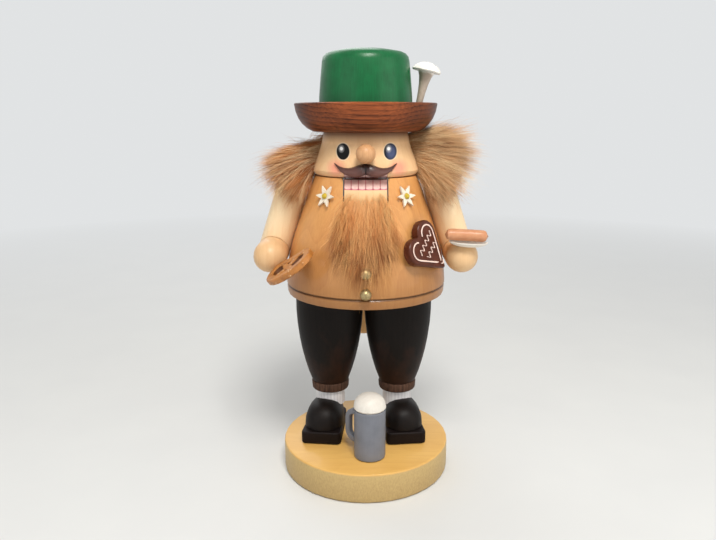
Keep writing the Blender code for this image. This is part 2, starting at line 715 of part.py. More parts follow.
def make_pin(steel):
    """The steel pin, and the cutter for its hole."""
    start, end = pin_ends()
    dowel("lever_pin", PIN_RADIUS, start, end, steel, SIDES_PIN)
    past = Vector((PIN_END_SETBACK * 2, 0, 0))
    return bore("bore_pin", PIN_RADIUS, start - past, end + past, PIN_PLAY, SIDES_PIN)


def neck_dowels(wood):
    """The two dowels between body and head; gives back their cutters."""
    holes = []
    for side in (LEFT, RIGHT):
        axis = Vector((side * NECK_DOWEL_SPACING / 2, 0, 0))
        start, end = axis + UP * (BODY_TOP - NECK_DOWEL_DEPTH), axis + UP * (MOUTH + NECK_DOWEL_DEPTH)
        dowel(side_name("neck_dowel", side), NECK_DOWEL_RADIUS, start, end, wood)
        holes.append(bore(side_name("bore_neck", side), NECK_DOWEL_RADIUS, start, end))
    return holes


def head_outline(grow=0.0):
    """Turned outline of the head from the top down; grow moves it outward for cutters."""
    outline = [(0, HEAD_HEIGHT + grow)]
    outline += [(radius + grow, height) for radius, height in bezier(HEAD_SIDE, 4)]
    outline += arc((HEAD_RADIUS - HEAD_ROUND, HEAD_ROUND), HEAD_ROUND + grow, 0, -math.pi / 2, 3)[1:]
    return outline + [(0, -grow)]


def make_head(wood, holes):
    """The turned head, bored for nose, neck and hat."""
    head = turned("head", head_outline(), SIDES_WIDE, wood, UP * MOUTH)
    for hole in holes:
        cut(head, hole)
    return head


def nose_place():
    """Middle of the ball of the nose, on the front of the head."""
    z = MOUTH + NOSE_HEIGHT
    return Vector((0, -head_radius(z) - NOSE_RADIUS - FIT, z))


def make_nose(wood):
    """A turned ball on a peg; the peg goes into the head."""
    neck = math.asin(NOSE_PEG_RADIUS / NOSE_RADIUS)
    outline = [(0, NOSE_RADIUS)] + arc((0, 0), NOSE_RADIUS, math.pi / 2, -math.pi / 2 + neck, 7)[1:]
    outline += [(NOSE_PEG_RADIUS, -NOSE_RADIUS - NOSE_PEG_LENGTH), (0, -NOSE_RADIUS - NOSE_PEG_LENGTH)]
    forward = Vector((0, -1, 0))
    turned("nose", outline, SIDES_SMALL, wood, nose_place(), forward)
    back = nose_place() - forward * (NOSE_RADIUS + NOSE_PEG_LENGTH)
    return bore("bore_nose", NOSE_PEG_RADIUS, back, nose_place())


def make_moustache(paint):
    """A sawn handlebar, bent to the head: thick in its lobes, split in the middle."""
    tip = (MOUSTACHE_HALF_WIDTH, MOUSTACHE_TIP_RISE)
    tip_half = 0.15 * MM
    upper = bezier(((0, MOUSTACHE_CROWN_RISE), (6 * MM, MOUSTACHE_CROWN_RISE),
                    (9.2 * MM, MOUSTACHE_TIP_RISE - 5.6 * MM), tip), MOUSTACHE_STATIONS)
    lower = bezier(((0, MOUSTACHE_LOBE_RISE + 1.4 * MM), (6 * MM, MOUSTACHE_LOBE_RISE - 1.6 * MM),
                    (14.4 * MM, MOUSTACHE_LOBE_RISE), tip), MOUSTACHE_STATIONS)
    rings = []
    for index in range(-MOUSTACHE_STATIONS, MOUSTACHE_STATIONS + 1):
        step = abs(index)
        sign = -1 if index < 0 else 1
        if step == MOUSTACHE_STATIONS:
            high, low = (tip[0], tip[1] + tip_half), (tip[0], tip[1] - tip_half)
        else:
            high = upper[step]
            low = point_at(lower, high[0])
        x = sign * high[0]
        z_middle, half = MOUTH + (high[1] + low[1]) / 2, (high[1] - low[1]) / 2
        deep = MOUSTACHE_THICKNESS * (1 - 0.72 * (step / MOUSTACHE_STATIONS) ** 2)
        deep *= 0.62 if step == 0 else 1.0
        ring = []
        for turn in range(7):
            angle = math.pi / 2 - math.pi * turn / 6
            z = z_middle + half * math.sin(angle)
            back = math.sqrt((head_radius(z) + FIT) ** 2 - x * x)
            ring.append(Vector((x, -back - deep * (0.35 + 0.65 * math.cos(angle) ** 0.6), z)))
        for turn in range(3):
            z = z_middle - half + half * turn
            ring.append(Vector((x, -math.sqrt((head_radius(z) + FIT) ** 2 - x * x), z)))
        rings.append(ring)
    skin("moustache", rings, paint)


def point_at(curve, x):
    """The point of a curve at one x."""
    for before, after in zip(curve, curve[1:]):
        if before[0] <= x <= after[0]:
            share = (x - before[0]) / max(after[0] - before[0], 1e-9)
            return (x, before[1] + share * (after[1] - before[1]))
    return curve[-1]


def brim_inside():
    """Upper side of the dish as a cubic outline, from the rim to the floor."""
    rim = BRIM_RADIUS - BRIM_RIM
    return ((rim, BRIM_HEIGHT - 0.4 * MM), (rim - 1.6 * MM, BRIM_FLOOR + 2.2 * MM),
            (CROWN_RADIUS + 7 * MM, BRIM_FLOOR), (CROWN_RADIUS + 1.5 * MM, BRIM_FLOOR))


def brim_outline():
    """The dish: floor, curved inside, narrow rim, curved outside, flat foot."""
    inside = bezier(brim_inside(), 3)
    outside = bezier(((BRIM_RADIUS, BRIM_HEIGHT - 0.5 * MM), (BRIM_RADIUS - 0.8 * MM, BRIM_HEIGHT - 8.5 * MM),
                      (BRIM_FOOT_RADIUS + 6.4 * MM, 2.4 * MM), (BRIM_FOOT_RADIUS, 0)), 5)
    outline = [(0, BRIM_FLOOR)] + inside[::-1]
    outline += [(BRIM_RADIUS - BRIM_RIM + 0.5 * MM, BRIM_HEIGHT), (BRIM_RADIUS - 0.6 * MM, BRIM_HEIGHT)]
    return outline + outside + [(0, 0)]


def crown_outline():
    """The crown: a low dome, a rounded edge and a nearly straight side."""
    top = CROWN_HEIGHT - CROWN_DOME
    side = bezier(((CROWN_RADIUS, 0), (CROWN_RADIUS - 0.2 * MM, 12 * MM),
                   (CROWN_TOP_RADIUS + 0.9 * MM, top - CROWN_ROUND - 9 * MM),
                   (CROWN_TOP_RADIUS, top - CROWN_ROUND)), 3)
    centre = (CROWN_TOP_RADIUS - CROWN_ROUND, top - CROWN_ROUND)
    shoulder = arc(centre, CROWN_ROUND, 0, math.radians(78), 3)[1:]
    outline = [(0, CROWN_HEIGHT), (13 * MM, CROWN_HEIGHT - 0.65 * MM)]
    return outline + shoulder[::-1] + side[::-1] + [(0, 0)]


def make_hat(brim_wood, crown_paint, brush_paint, dowel_wood):
    """Brim, crown, dowel and brush; gives back the cutter of the dowel."""
    brim = turned("hat_brim", brim_outline(), SIDES_WIDE, brim_wood, UP * BRIM_FOOT)
    crown = turned("hat_crown", crown_outline(), SIDES_WIDE, crown_paint, UP * CROWN_FOOT)
    start, end = UP * (HEAD_TOP - HAT_DOWEL_DEPTH), UP * (CROWN_FOOT + HAT_DOWEL_DEPTH)
    dowel("hat_dowel", HAT_DOWEL_RADIUS, start, end, dowel_wood)
    hole = bore("bore_hat", HAT_DOWEL_RADIUS, start, end)
    cut(brim, hole)
    cut(crown, hole)
    make_brush(brush_paint)
    return hole


def make_brush(paint):
    """The hat's brush: a slim stem that flares under a flat cap."""
    length = BRUSH_STEM_LENGTH
    stem = bezier(((BRUSH_STEM_RADIUS, 0), (BRUSH_STEM_RADIUS + 0.5 * MM, length * 0.5),
                   (BRUSH_STEM_RADIUS + 0.8 * MM, length * 0.84), (BRUSH_NECK_RADIUS, length)), 5)
    cap_edge = 0.5 * MM
    dome = bezier(((0, length + BRUSH_CAP_HEIGHT), (BRUSH_CAP_RADIUS * 0.55, length + BRUSH_CAP_HEIGHT),
                   (BRUSH_CAP_RADIUS * 0.95, length + 2.4 * MM), (BRUSH_CAP_RADIUS, length + 0.7 * MM)), 4)
    outline = dome + [(BRUSH_CAP_RADIUS - cap_edge, length)] + stem[::-1] + [(0, 0)]
    out = math.hypot(BRUSH_OUT, BRUSH_BACK)
    seat = BRIM_FOOT + radius_to_height(brim_inside(), out) + FIT
    tilt = Vector((math.sin(BRUSH_TILT), 0, math.cos(BRUSH_TILT)))
    place = Vector((BRUSH_OUT, BRUSH_BACK, seat + BRUSH_STEM_RADIUS * math.tan(BRUSH_TILT) + 0.9 * MM))
    turned("hat_brush", outline, SIDES_SMALL, paint, place, tilt)


def radius_to_height(curve, radius):
    """Height at which a cubic outline that narrows passes a radius."""
    points = bezier(curve, 40)
    return min(points, key=lambda point: abs(point[0] - radius))[1]


def arm_frame(side):
    """Elbow, direction from elbow to shoulder, direction of the hand, and the mitre's normal."""
    elbow = Vector((side * ELBOW_OUT, 0, BODY_FOOT + ELBOW_HEIGHT))
    up_arm = Vector((-side * math.sin(SLEEVE_SPREAD), 0, math.cos(SLEEVE_SPREAD)))
    forward = Vector((0, -1, 0))
    return elbow, up_arm, forward, (forward - up_arm).normalized()


def sliced(bm, point, normal):
    """Keep the part of a bmesh behind a plane and close the cut."""
    geom = bm.verts[:] + bm.edges[:] + bm.faces[:]
    result = bmesh.ops.bisect_plane(bm, geom=geom, plane_co=point, plane_no=normal, clear_outer=True)
    rim = [item for item in result["geom_cut"] if isinstance(item, bmesh.types.BMEdge)]
    bmesh.ops.holes_fill(bm, edges=rim)
    return bm


def sleeve_outline(grow=0.0):
    """Rounded shoulder and slightly tapered sleeve, down to the elbow's middle."""
    top, round_off = SLEEVE_LENGTH + grow, 0.7 * SHOULDER_END_RADIUS
    end = SHOULDER_END_RADIUS + grow
    shoulder = bezier(((0.62 * end, top), (0.88 * end, top), (end, top - 0.5 * round_off),
                       (end, top - round_off)), 3)
    return [(0, top)] + shoulder + [(SLEEVE_RADIUS + grow, 0)]


def make_arm(side, sleeve_paint, hand_wood, dowel_wood, bell_cutter):
    """Sleeve, hand and their dowels; gives back the hand and the shoulder dowel's cutter."""
    elbow, up_arm, forward, normal = arm_frame(side)
    past = 14 * MM
    bm = turned_mesh(sleeve_outline() + [(SLEEVE_RADIUS, -past), (0, -past)], SIDES_LIMB)
    bmesh.ops.remove_doubles(bm, verts=bm.verts, dist=0.002 * MM)
    placing = Matrix.Translation(elbow) @ up_arm.to_track_quat("Z", "Y").to_matrix().to_4x4()
    bm.transform(placing)
    sleeve = piece(side_name("sleeve", side), sliced(bm, elbow - normal * FIT / 2, normal), sleeve_paint)
    cut(sleeve, bell_cutter)

    dome = HAND_RADIUS
    outline = [(0, HAND_LENGTH)]
    outline += arc((0, HAND_LENGTH - dome), dome, math.pi / 2, 0, 5)[1:]
    outline += [(HAND_RADIUS, -past), (0, -past)]
    bm = turned_mesh(outline, SIDES_LIMB)
    bmesh.ops.remove_doubles(bm, verts=bm.verts, dist=0.002 * MM)
    bm.transform(Matrix.Translation(elbow) @ forward.to_track_quat("Z", "Y").to_matrix().to_4x4())
    hand = piece(side_name("hand", side), sliced(bm, elbow + normal * FIT / 2, -normal), hand_wood)

    cut(hand, bell_cutter)

    reach = normal * ELBOW_DOWEL_LENGTH / 2
    dowel(side_name("elbow_dowel", side), ELBOW_DOWEL_RADIUS, elbow - reach, elbow + reach, dowel_wood)
    hole = bore(side_name("bore_elbow", side), ELBOW_DOWEL_RADIUS, elbow - reach, elbow + reach)
    cut(sleeve, hole)
    cut(hand, hole)

    z = BODY_FOOT + SHOULDER_DOWEL_HEIGHT
    rise = (z - elbow.z) / up_arm.z
    in_arm = elbow + up_arm * rise
    start = Vector((side * (bell_radius(z) - SHOULDER_DOWEL_IN_BODY), 0, z))
    end = Vector((in_arm.x - side * (SLEEVE_RADIUS - SHOULDER_DOWEL_IN_ARM), 0, z))
    dowel(side_name("shoulder_dowel", side), SHOULDER_DOWEL_RADIUS, start, end, dowel_wood)
    hole = bore(side_name("bore_shoulder", side), SHOULDER_DOWEL_RADIUS, start, end)
    cut(sleeve, hole)
    return hand, hole


def strand(name, points, band, thickness, finish, closed):
    """A flat dough strand of square section along a plan curve."""
    rings = []
    count = len(points)
    for index, here in enumerate(points):
        before = points[index - 1] if closed or index else here
        after = points[(index + 1) % count] if closed or index < count - 1 else here
        run = Vector((after[0] - before[0], after[1] - before[1], 0)).normalized()
        across = Vector((-run.y, run.x, 0)) * band / 2
        middle = Vector((here[0], here[1], 0))
        half = UP * thickness / 2
        soft = 0.72
        rings.append([middle + across * a + half * b for a, b in (
            (1, -soft), (1, soft), (soft, 1), (-soft, 1), (-1, soft), (-1, -soft), (-soft, -1), (soft, -1))])
    return skin(name, rings, finish) if not closed else ring_skin(name, rings, finish)


def ring_skin(name, rings, finish):
    """Join rings of equal size into a closed loop with no ends."""
    bm = bmesh.new()
    loops = [[bm.verts.new(point) for point in ring] for ring in rings]
    for index, lower in enumerate(loops):
        upper = loops[(index + 1) % len(loops)]
        for corner in range(len(lower)):
            after = (corner + 1) % len(lower)
            bm.faces.new((lower[corner], lower[after], upper[after], upper[corner]))
    return piece(name, bm, finish)


def make_pretzel(paint):
    """A sawn pretzel: a kidney-shaped ring with two arms that cross to its lower edge."""
    wide, deep, band = PRETZEL_WIDTH - PRETZEL_BAND, PRETZEL_DEPTH - PRETZEL_BAND, PRETZEL_BAND
    outer = []
    for index in range(20):
        turn = 2 * math.pi * index / 20
        dip = 0.24 * deep * max(0.0, math.sin(turn)) ** 6
        outer.append((wide / 2 * math.cos(turn), deep / 2 * math.sin(turn) - dip))
    pretzel = strand("pretzel", outer, band, PRETZEL_THICKNESS, paint, True)
    inner_arm = PRETZEL_THICKNESS * 0.82
    for side in (LEFT, RIGHT):
        arm = bezier(((side * -0.33 * wide, -0.43 * deep), (side * -0.05 * wide, -0.22 * deep),
                      (side * 0.16 * wide, 0.0), (side * 0.2 * wide, 0.42 * deep)), 8)
        arm_strand = strand(side_name("pretzel_arm", side), arm, band * 0.72, inner_arm, None, False)
        cutter(arm_strand)
        join = pretzel.modifiers.new("arm", "BOOLEAN")
        join.operation = "UNION"
        join.solver = "EXACT"
        join.object = arm_strand
        arm_strand.parent = pretzel
    elbow, _, forward, _ = arm_frame(LEFT)
    across = Vector((math.cos(PRETZEL_ROLL), 0, -math.sin(PRETZEL_ROLL)))
    level = Vector((math.sin(PRETZEL_ROLL), 0, math.cos(PRETZEL_ROLL)))
    out = level * math.cos(PRETZEL_PITCH) + Vector((0, -math.sin(PRETZEL_PITCH), 0))
    turned_way = Matrix.Rotation(PRETZEL_TURN, 3, out)
    across = turned_way @ across
    back = out.cross(across).normalized()
    dome = elbow + forward * (HAND_LENGTH - HAND_RADIUS)
    middle = dome + PRETZEL_WAY * (HAND_RADIUS + PRETZEL_REACH)
    set_frame(pretzel, middle, across, back, out)
    return pretzel


def oval(length, width, count):
    """Corners of an oval, counted round from its right end."""
    return [(length / 2 * math.cos(2 * math.pi * index / count),
             width / 2 * math.sin(2 * math.pi * index / count)) for index in range(count)]


def make_plate_and_sausage(plate_paint, sausage_paint, hand):
    """An oval plate let into the top of the hand, with a sausage lying in it."""
    elbow, _, forward, _ = arm_frame(RIGHT)
    middle = elbow + forward * (HAND_LENGTH - 3.0 * MM) + UP * (HAND_RADIUS - 2.6 * MM)
    seat = Matrix.Translation(middle) @ Matrix.Rotation(PLATE_ROLL, 4, "Y")
    rings = []
    for height, size in ((0, 0.62), (0.35, 0.86), (0.8, 1.0), (1.0, 1.0), (0.72, 0.9), (0.5, 0.7)):
        rings.append([Vector((x * size, y * size, height * PLATE_THICKNESS))
                      for x, y in oval(PLATE_LENGTH, PLATE_DEPTH, SIDES_LIMB)])
    plate = skin("plate", rings, plate_paint)
    plate.matrix_world = seat @ Matrix.Translation((PLATE_OUT, 0, FIT))
    notch_size = Vector((PLATE_LENGTH, HAND_LENGTH, HAND_RADIUS))
    bm = bmesh.new()
    bmesh.ops.create_cube(bm, size=1)
    bm.transform(Matrix.Diagonal((*notch_size, 1)))
    notch = cutter(piece("plate_notch", bm))
    back = PLATE_DEPTH / 2 + FIT
    notch.matrix_world = seat @ Matrix.Translation((0, back - notch_size.y / 2, notch_size.z / 2))
    cut(hand, notch)
    rings = []
    straight = SAUSAGE_LENGTH / 2 - SAUSAGE_RADIUS
    for share in [index / 5 for index in range(-5, 6)]:
        angle = share * math.pi / 2
        end_round = max(0.0, abs(share) - 0.55) / 0.45
        size = math.sqrt(max(0.0, 1 - end_round ** 2)) or 0.08
        x = math.copysign(min(abs(share) / 0.55, 1) * straight, share)
        x += math.copysign(end_round * SAUSAGE_RADIUS, share)
        lift = SAUSAGE_BEND * (1 - math.cos(angle)) * 0.6
        round_off = SAUSAGE_RADIUS * size
        rings.append([Vector((x, round_off * math.cos(t) - lift, round_off * math.sin(t)))
                      for t in [2 * math.pi * k / 12 for k in range(12)]])
    sausage = skin("sausage", rings, sausage_paint)
    lie = PLATE_THICKNESS + 2 * FIT + SAUSAGE_RADIUS
    sausage.matrix_world = seat @ Matrix.Translation((PLATE_OUT + SAUSAGE_OUT, 0, lie))


def heart_outline():
    """Heart with its tip at the bottom, from two arcs and straight flanks."""
    lobe = HEART_WIDTH / 4 * 1.08
    x_centre = HEART_WIDTH / 2 - lobe
    y_centre = HEART_LENGTH / 2 - lobe
    tip = (0, -HEART_LENGTH / 2)
    flank = math.atan2(y_centre - tip[1], x_centre)
    reach = math.hypot(x_centre, y_centre - tip[1])
    end = flank - math.pi + math.acos(lobe / reach)
    start = math.acos(-x_centre / lobe) if x_centre < lobe else math.pi
    right = arc((x_centre, y_centre), lobe, end, start, 9)
    notch = right.pop()
    tip_round = 1.1 * MM
    outline = [(tip_round * 0.6, tip[1] + tip_round * 0.5)] + right + [(0, notch[1])]
    outline += [(-x, y) for x, y in reversed(right)] + [(-tip_round * 0.6, tip[1] + tip_round * 0.5)]
    return outline


def make_heart(paint):
    """A gingerbread heart, set flat against the belly and turned on its side."""
    edge = 0.7 * MM
    half = HEART_THICKNESS / 2
    outline = heart_outline()
    eased = inset(outline, edge)
    rings = [[Vector((x, y, z)) for x, y in shape] for shape, z in (
        (eased, -half), (outline, -half + edge), (outline, half - edge), (eased, half))]
    heart = skin("heart", rings, paint)
    place, right, upward, out = on_body(HEART_AZIMUTH, HEART_HEIGHT, half + FIT)
    c, s = math.cos(HEART_TURN), math.sin(HEART_TURN)
    set_frame(heart, place, right * c + upward * s, upward * c - right * s, out)


def make_buttons(metal):
    """Domed buttons with a flat back."""
    back = -BUTTON_RADIUS * 0.75
    start = math.asin(-0.75)
    outline = [(0, BUTTON_RADIUS)] + arc((0, 0), BUTTON_RADIUS, math.pi / 2, start, 5)[1:] + [(0, back)]
    for name, height in zip(("button_upper", "button_lower"), BUTTON_HEIGHTS):
        place, _, _, out = on_body(0, height, FIT - back)
        turned(name, outline, SIDES_SMALL, metal, place, out)


def make_flower(side, petal_paint, eye_paint):
    """Six pointed petals that rise to their tips, and a small domed eye."""
    azimuth = math.asin(side * FLOWER_OUT / bell_radius(BODY_FOOT + FLOWER_HEIGHT))
    place, right, upward, out = on_body(azimuth, FLOWER_HEIGHT, 0)
    bm = bmesh.new()
    rims = []
    for height in (0, FLOWER_THICKNESS):
        rim = []
        for index in range(24):
            turn = 2 * math.pi * index / 24
            phase = (index % 4) / 4
            size = {0: 1.0, 0.25: 0.62, 0.5: FLOWER_WAIST / FLOWER_RADIUS, 0.75: 0.62}[phase]
            rise = 0.6 * MM * (1 if phase == 0 else 0) + (0.25 * MM if phase in (0.25, 0.75) else 0)
            lift = FIT + height + rise
            rim.append(bm.verts.new(Vector((
                FLOWER_RADIUS * size * math.cos(turn), FLOWER_RADIUS * size * math.sin(turn), lift))))
        rims.append(rim)
    for index in range(24):
        after = (index + 1) % 24
        bm.faces.new((rims[0][index], rims[0][after], rims[1][after], rims[1][index]))
    for rim, height in ((rims[0], 0), (rims[1], FLOWER_THICKNESS - 0.4 * MM)):
        middle = bm.verts.new((0, 0, FIT + height))
        for index in range(24):
            bm.faces.new((rim[index], rim[(index + 1) % 24], middle))
    flower = piece(side_name("flower", side), bm, petal_paint)
    set_frame(flower, place, right, upward, out)
    outline = [(0, 1.3 * MM), (1.1 * MM, 1.0 * MM), (FLOWER_EYE_RADIUS, 0), (0, 0)]
    seat = place + out * (FLOWER_THICKNESS + 2 * FIT)
    turned(side_name("flower_eye", side), outline, 12, eye_paint, seat, out)


def make_mug(grey, foam_paint):
    """A straight mug with a flat band handle and a head of foam."""
    floor = Vector((MUG_RIGHT, -MUG_AHEAD, BASE_HEIGHT + FIT))
    outline = rod_outline(MUG_RADIUS, MUG_HEIGHT, 0, 0.5 * MM)
    mug = turned("mug_body", outline, SIDES_LIMB, grey, floor)
    dome = bezier(((0, MUG_FOAM_HEIGHT), (MUG_FOAM_RADIUS * 0.62, MUG_FOAM_HEIGHT),
                   (MUG_FOAM_RADIUS, MUG_FOAM_HEIGHT * 0.68), (MUG_FOAM_RADIUS, 0.9 * MM)), 5)
    turned("mug_foam", dome + [(MUG_FOAM_RADIUS - 0.6 * MM, 0), (0, 0)], SIDES_LIMB, foam_paint,
           floor + UP * (MUG_HEIGHT + FIT))
    start = MUG_RADIUS - 1.6 * MM
    reach = MUG_RADIUS + MUG_HANDLE_REACH - MUG_HANDLE_BAND / 2
    half = (MUG_HANDLE_HEIGHT - MUG_HANDLE_BAND) / 2
    corner = MUG_HANDLE_CORNER
    path = [(start, half), (reach - corner, half)]
    path += arc((reach - corner, half - corner), corner, math.pi / 2, 0, 4)[1:]
    path += [(x, -y) for x, y in reversed(path)]
    handle = strand("mug_handle", path, MUG_HANDLE_BAND, MUG_HANDLE_THICKNESS, grey, False)
    out = Vector((-math.sin(MUG_HANDLE_AZIMUTH), -math.cos(MUG_HANDLE_AZIMUTH), 0))
    middle = floor + UP * (MUG_HEIGHT - MUG_HANDLE_HEIGHT / 2 - MUG_HANDLE_DROP)
    set_frame(handle, middle, out, UP, out.cross(UP))
    around = rod_outline(MUG_RADIUS + FIT, MUG_HEIGHT + FIT, -FIT)
    cut(handle, cutter(turned("mug_wall", around, SIDES_LIMB, None, floor)))


def make_beard(fur):
    """Fur on the chin: it lies on the waistcoat and narrows to a point above the buttons."""
    rings = []
    levels = 9
    for index in range(levels + 1):
        share = index / levels
        z = BODY_FOOT + BEARD_TOP + (BEARD_TIP - BEARD_TOP) * share
        grow = math.sin(min(share / 0.62, 1) * math.pi / 2)
        half = (BEARD_TOP_WIDTH + (BEARD_WIDTH - BEARD_TOP_WIDTH) * grow) / 2
        if share > 0.62:
            half *= 1 - 0.62 * ((share - 0.62) / 0.38) ** 1.6
        thick = BEARD_THICKNESS * (0.35 + 0.65 * math.sin(math.pi * min(share * 1.15, 1) ** 0.8))
        back = bell_radius(z) + FIT
        ring = [Vector((half * step / 6, -math.sqrt(back ** 2 - (half * step / 6) ** 2), z))
                for step in range(-6, 7)]
        for step in range(5, -6, -1):
            x = half * step / 6
            bulge = thick * math.sqrt(1 - (step / 6) ** 2)
            ring.append(Vector((x, -math.sqrt(back ** 2 - x * x) - bulge, z)))
        rings.append(ring)
    skin("beard", rings, fur)


def make_tuft(side, fur, cutters):
    """Fur at the side of the head: a fan that leaves the head and droops over the shoulder."""
    rings = []
    root = Vector((side * (HEAD_RADIUS - 9 * MM), 2 * MM, MOUTH + TUFT_ROOT_HEIGHT))
    for index in range(7):
        share = index / 6
        middle = root + Vector((side * (6 * MM + TUFT_REACH * share), 0, -TUFT_DROOP * share ** 1.3))
        high = TUFT_HALF_HEIGHT * (1 - 0.5 * share ** 3)
        high *= 0.62 + 0.38 * math.sin(math.pi * min(1, share * 1.25))
        deep = TUFT_HALF_DEPTH * (1 - 0.62 * share ** 1.5)
        rings.append([middle + Vector((0, deep * math.cos(t), high * math.sin(t)))
                      for t in [2 * math.pi * k / 12 for k in range(12)]])
    tuft = skin(side_name("hair", side), rings, fur)
    for tool in cutters:
        cut(tuft, tool)


def make_back_hair(fur):
    """Fur strip round the back of the head, under the brim."""
    rings = []
    for index in range(13):
        turn = BACK_HAIR_HALF_ANGLE * (index - 6) / 6
        way = Vector((math.sin(turn), math.cos(turn), 0))
        low, high = MOUTH + BACK_HAIR_RISE, HEAD_TOP - FIT
        ring = []
        for z, lift in ((low, FIT), (high, FIT), (high, BACK_HAIR_THICKNESS * 0.8),
                        ((low + high) / 2, BACK_HAIR_THICKNESS), (low, BACK_HAIR_THICKNESS * 0.55)):
            ring.append(way * (head_radius(z) + lift + FIT) + UP * z)
        rings.append(ring)
    skin("hair_back", rings, fur)


def inflated_sleeve(side):
    """Cutter a little larger than a sleeve, for the fur that lies on it."""
    elbow, up_arm, _, _ = arm_frame(side)
    outline = sleeve_outline(2 * FIT) + [(0, 0)]
    return cutter(turned(side_name("fur_over_sleeve", side), outline, SIDES_LIMB, None, elbow, up_arm))


def stand_back():
    """Set the figure and its cutters behind the middle of the base; base and mug stay."""
    for thing in bpy.data.objects:
        if thing.parent is None and not thing.name.startswith(("base_plate", "mug_")):
            thing.location.y += STANDS_BACK


def build():
    """Make every piece with its finish."""
    clear_scene()
    pale = material("pale wood", (0.80, 0.62, 0.36), 0.42)
    tan = material("tan wood", (0.68, 0.38, 0.15), 0.4)
    face = material("face wood", (0.76, 0.55, 0.33), 0.38)
    cream = material("cream sleeve", (0.86, 0.70, 0.44), 0.4)
    skin_wood = material("hand wood", (0.72, 0.45, 0.26), 0.4)
    breeches = material("breeches stain", (0.035, 0.022, 0.016), 0.45)
    cuff_stain = material("cuff stain", (0.12, 0.04, 0.022), 0.45)
    shoe = material("shoe paint", (0.018, 0.012, 0.011), 0.35)
    white = material("white paint", (0.80, 0.78, 0.74), 0.4)
    green = material("green lacquer", (0.02, 0.22, 0.075), 0.28)
    brim_wood = material("brim wood", (0.26, 0.08, 0.03), 0.45)
    fur = material("fur", (0.42, 0.22, 0.10), 0.9)
    dark = material("moustache paint", (0.06, 0.022, 0.018), 0.4)
    grey = material("mug grey", (0.28, 0.31, 0.40), 0.35)
    dough = material("dough brown", (0.55, 0.25, 0.07), 0.5)
    ginger = material("gingerbread brown", (0.07, 0.02, 0.014), 0.45)
    pink = material("sausage", (0.80, 0.34, 0.18), 0.4)
    yellow = material("yellow paint", (0.75, 0.55, 0.08), 0.5)
    steel = material("steel", (0.55, 0.55, 0.55), 0.3, 1.0)
    brass = material("button metal", (0.45, 0.38, 0.25), 0.35, 1.0)

    make_base(pale)
    hips = [make_leg(side, shoe, white, cuff_stain, breeches, pale) for side in (LEFT, RIGHT)]
    pin_hole = make_pin(steel)
    neck_holes = neck_dowels(pale)
    bell_cutter = cutter(turned("bell_around", body_outline(FIT), SIDES_WIDE, None, UP * BODY_FOOT))
    arms = {side: make_arm(side, cream, skin_wood, pale, bell_cutter) for side in (LEFT, RIGHT)}
    holes = hips + [pin_hole] + neck_holes + [arms[side][1] for side in arms]
    make_body(tan, holes)
    make_lever(pale, pin_hole)
    hat_hole = make_hat(brim_wood, green, white, pale)
    make_head(face, [make_nose(face), hat_hole] + neck_holes)
    make_moustache(dark)
    make_pretzel(dough)
    make_plate_and_sausage(white, pink, arms[RIGHT][0])
    make_heart(ginger)
    make_buttons(brass)
    for side in (LEFT, RIGHT):
        make_flower(side, white, yellow)
    make_mug(grey, white)
    make_beard(fur)
    head_cutter = cutter(turned("head_around", head_outline(2 * FIT), SIDES_WIDE, None, UP * MOUTH))
    above_head = rod_outline(BRIM_RADIUS + 20 * MM, 20 * MM, 0)
    brim_cutter = cutter(turned("under_brim", above_head, SIDES_SMALL, None, UP * HEAD_TOP))
    for side in (LEFT, RIGHT):
        make_tuft(side, fur, (head_cutter, bell_cutter, brim_cutter, inflated_sleeve(side)))
    make_back_hair(fur)
    stand_back()


build()
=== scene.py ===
"""Looks of a turned wooden nutcracker: grain, stain, paint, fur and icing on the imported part."""

import logging
import math
from dataclasses import dataclass, field
from enum import Enum
from typing import Iterable, Optional, Sequence, Union

import bmesh
import bpy
import numpy as np
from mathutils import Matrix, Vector
from mathutils.bvhtree import BVHTree


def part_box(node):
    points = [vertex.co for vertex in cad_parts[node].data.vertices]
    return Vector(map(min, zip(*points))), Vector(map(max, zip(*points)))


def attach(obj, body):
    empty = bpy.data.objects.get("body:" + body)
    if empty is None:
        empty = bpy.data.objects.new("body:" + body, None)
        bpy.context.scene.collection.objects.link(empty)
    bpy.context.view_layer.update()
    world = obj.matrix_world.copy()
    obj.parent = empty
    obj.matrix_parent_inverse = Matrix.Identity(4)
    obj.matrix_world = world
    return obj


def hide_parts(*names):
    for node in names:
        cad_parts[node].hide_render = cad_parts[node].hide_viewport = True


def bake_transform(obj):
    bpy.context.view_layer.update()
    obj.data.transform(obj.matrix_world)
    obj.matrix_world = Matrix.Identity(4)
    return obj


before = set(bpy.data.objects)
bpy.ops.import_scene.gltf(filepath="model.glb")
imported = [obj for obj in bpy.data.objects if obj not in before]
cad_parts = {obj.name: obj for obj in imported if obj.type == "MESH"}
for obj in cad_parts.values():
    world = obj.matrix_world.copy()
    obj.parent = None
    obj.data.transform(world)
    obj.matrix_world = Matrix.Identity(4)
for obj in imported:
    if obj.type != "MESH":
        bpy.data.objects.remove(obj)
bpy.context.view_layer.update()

MM = 0.001
AXIS_Y = 11.0  # mm, the figure stands this far behind the middle of its base
WELD = 2e-6  # m, points closer than this are one
FLAT = 0.4  # degrees, faces that differ by less are one
SHARP = 32.0  # degrees, an edge is sharp from here unless a piece says otherwise
SIDES = ("left", "right")
FIGURE, LEVER = "figure", "lever"
log = logging.getLogger("nutcracker")


# Shader maths


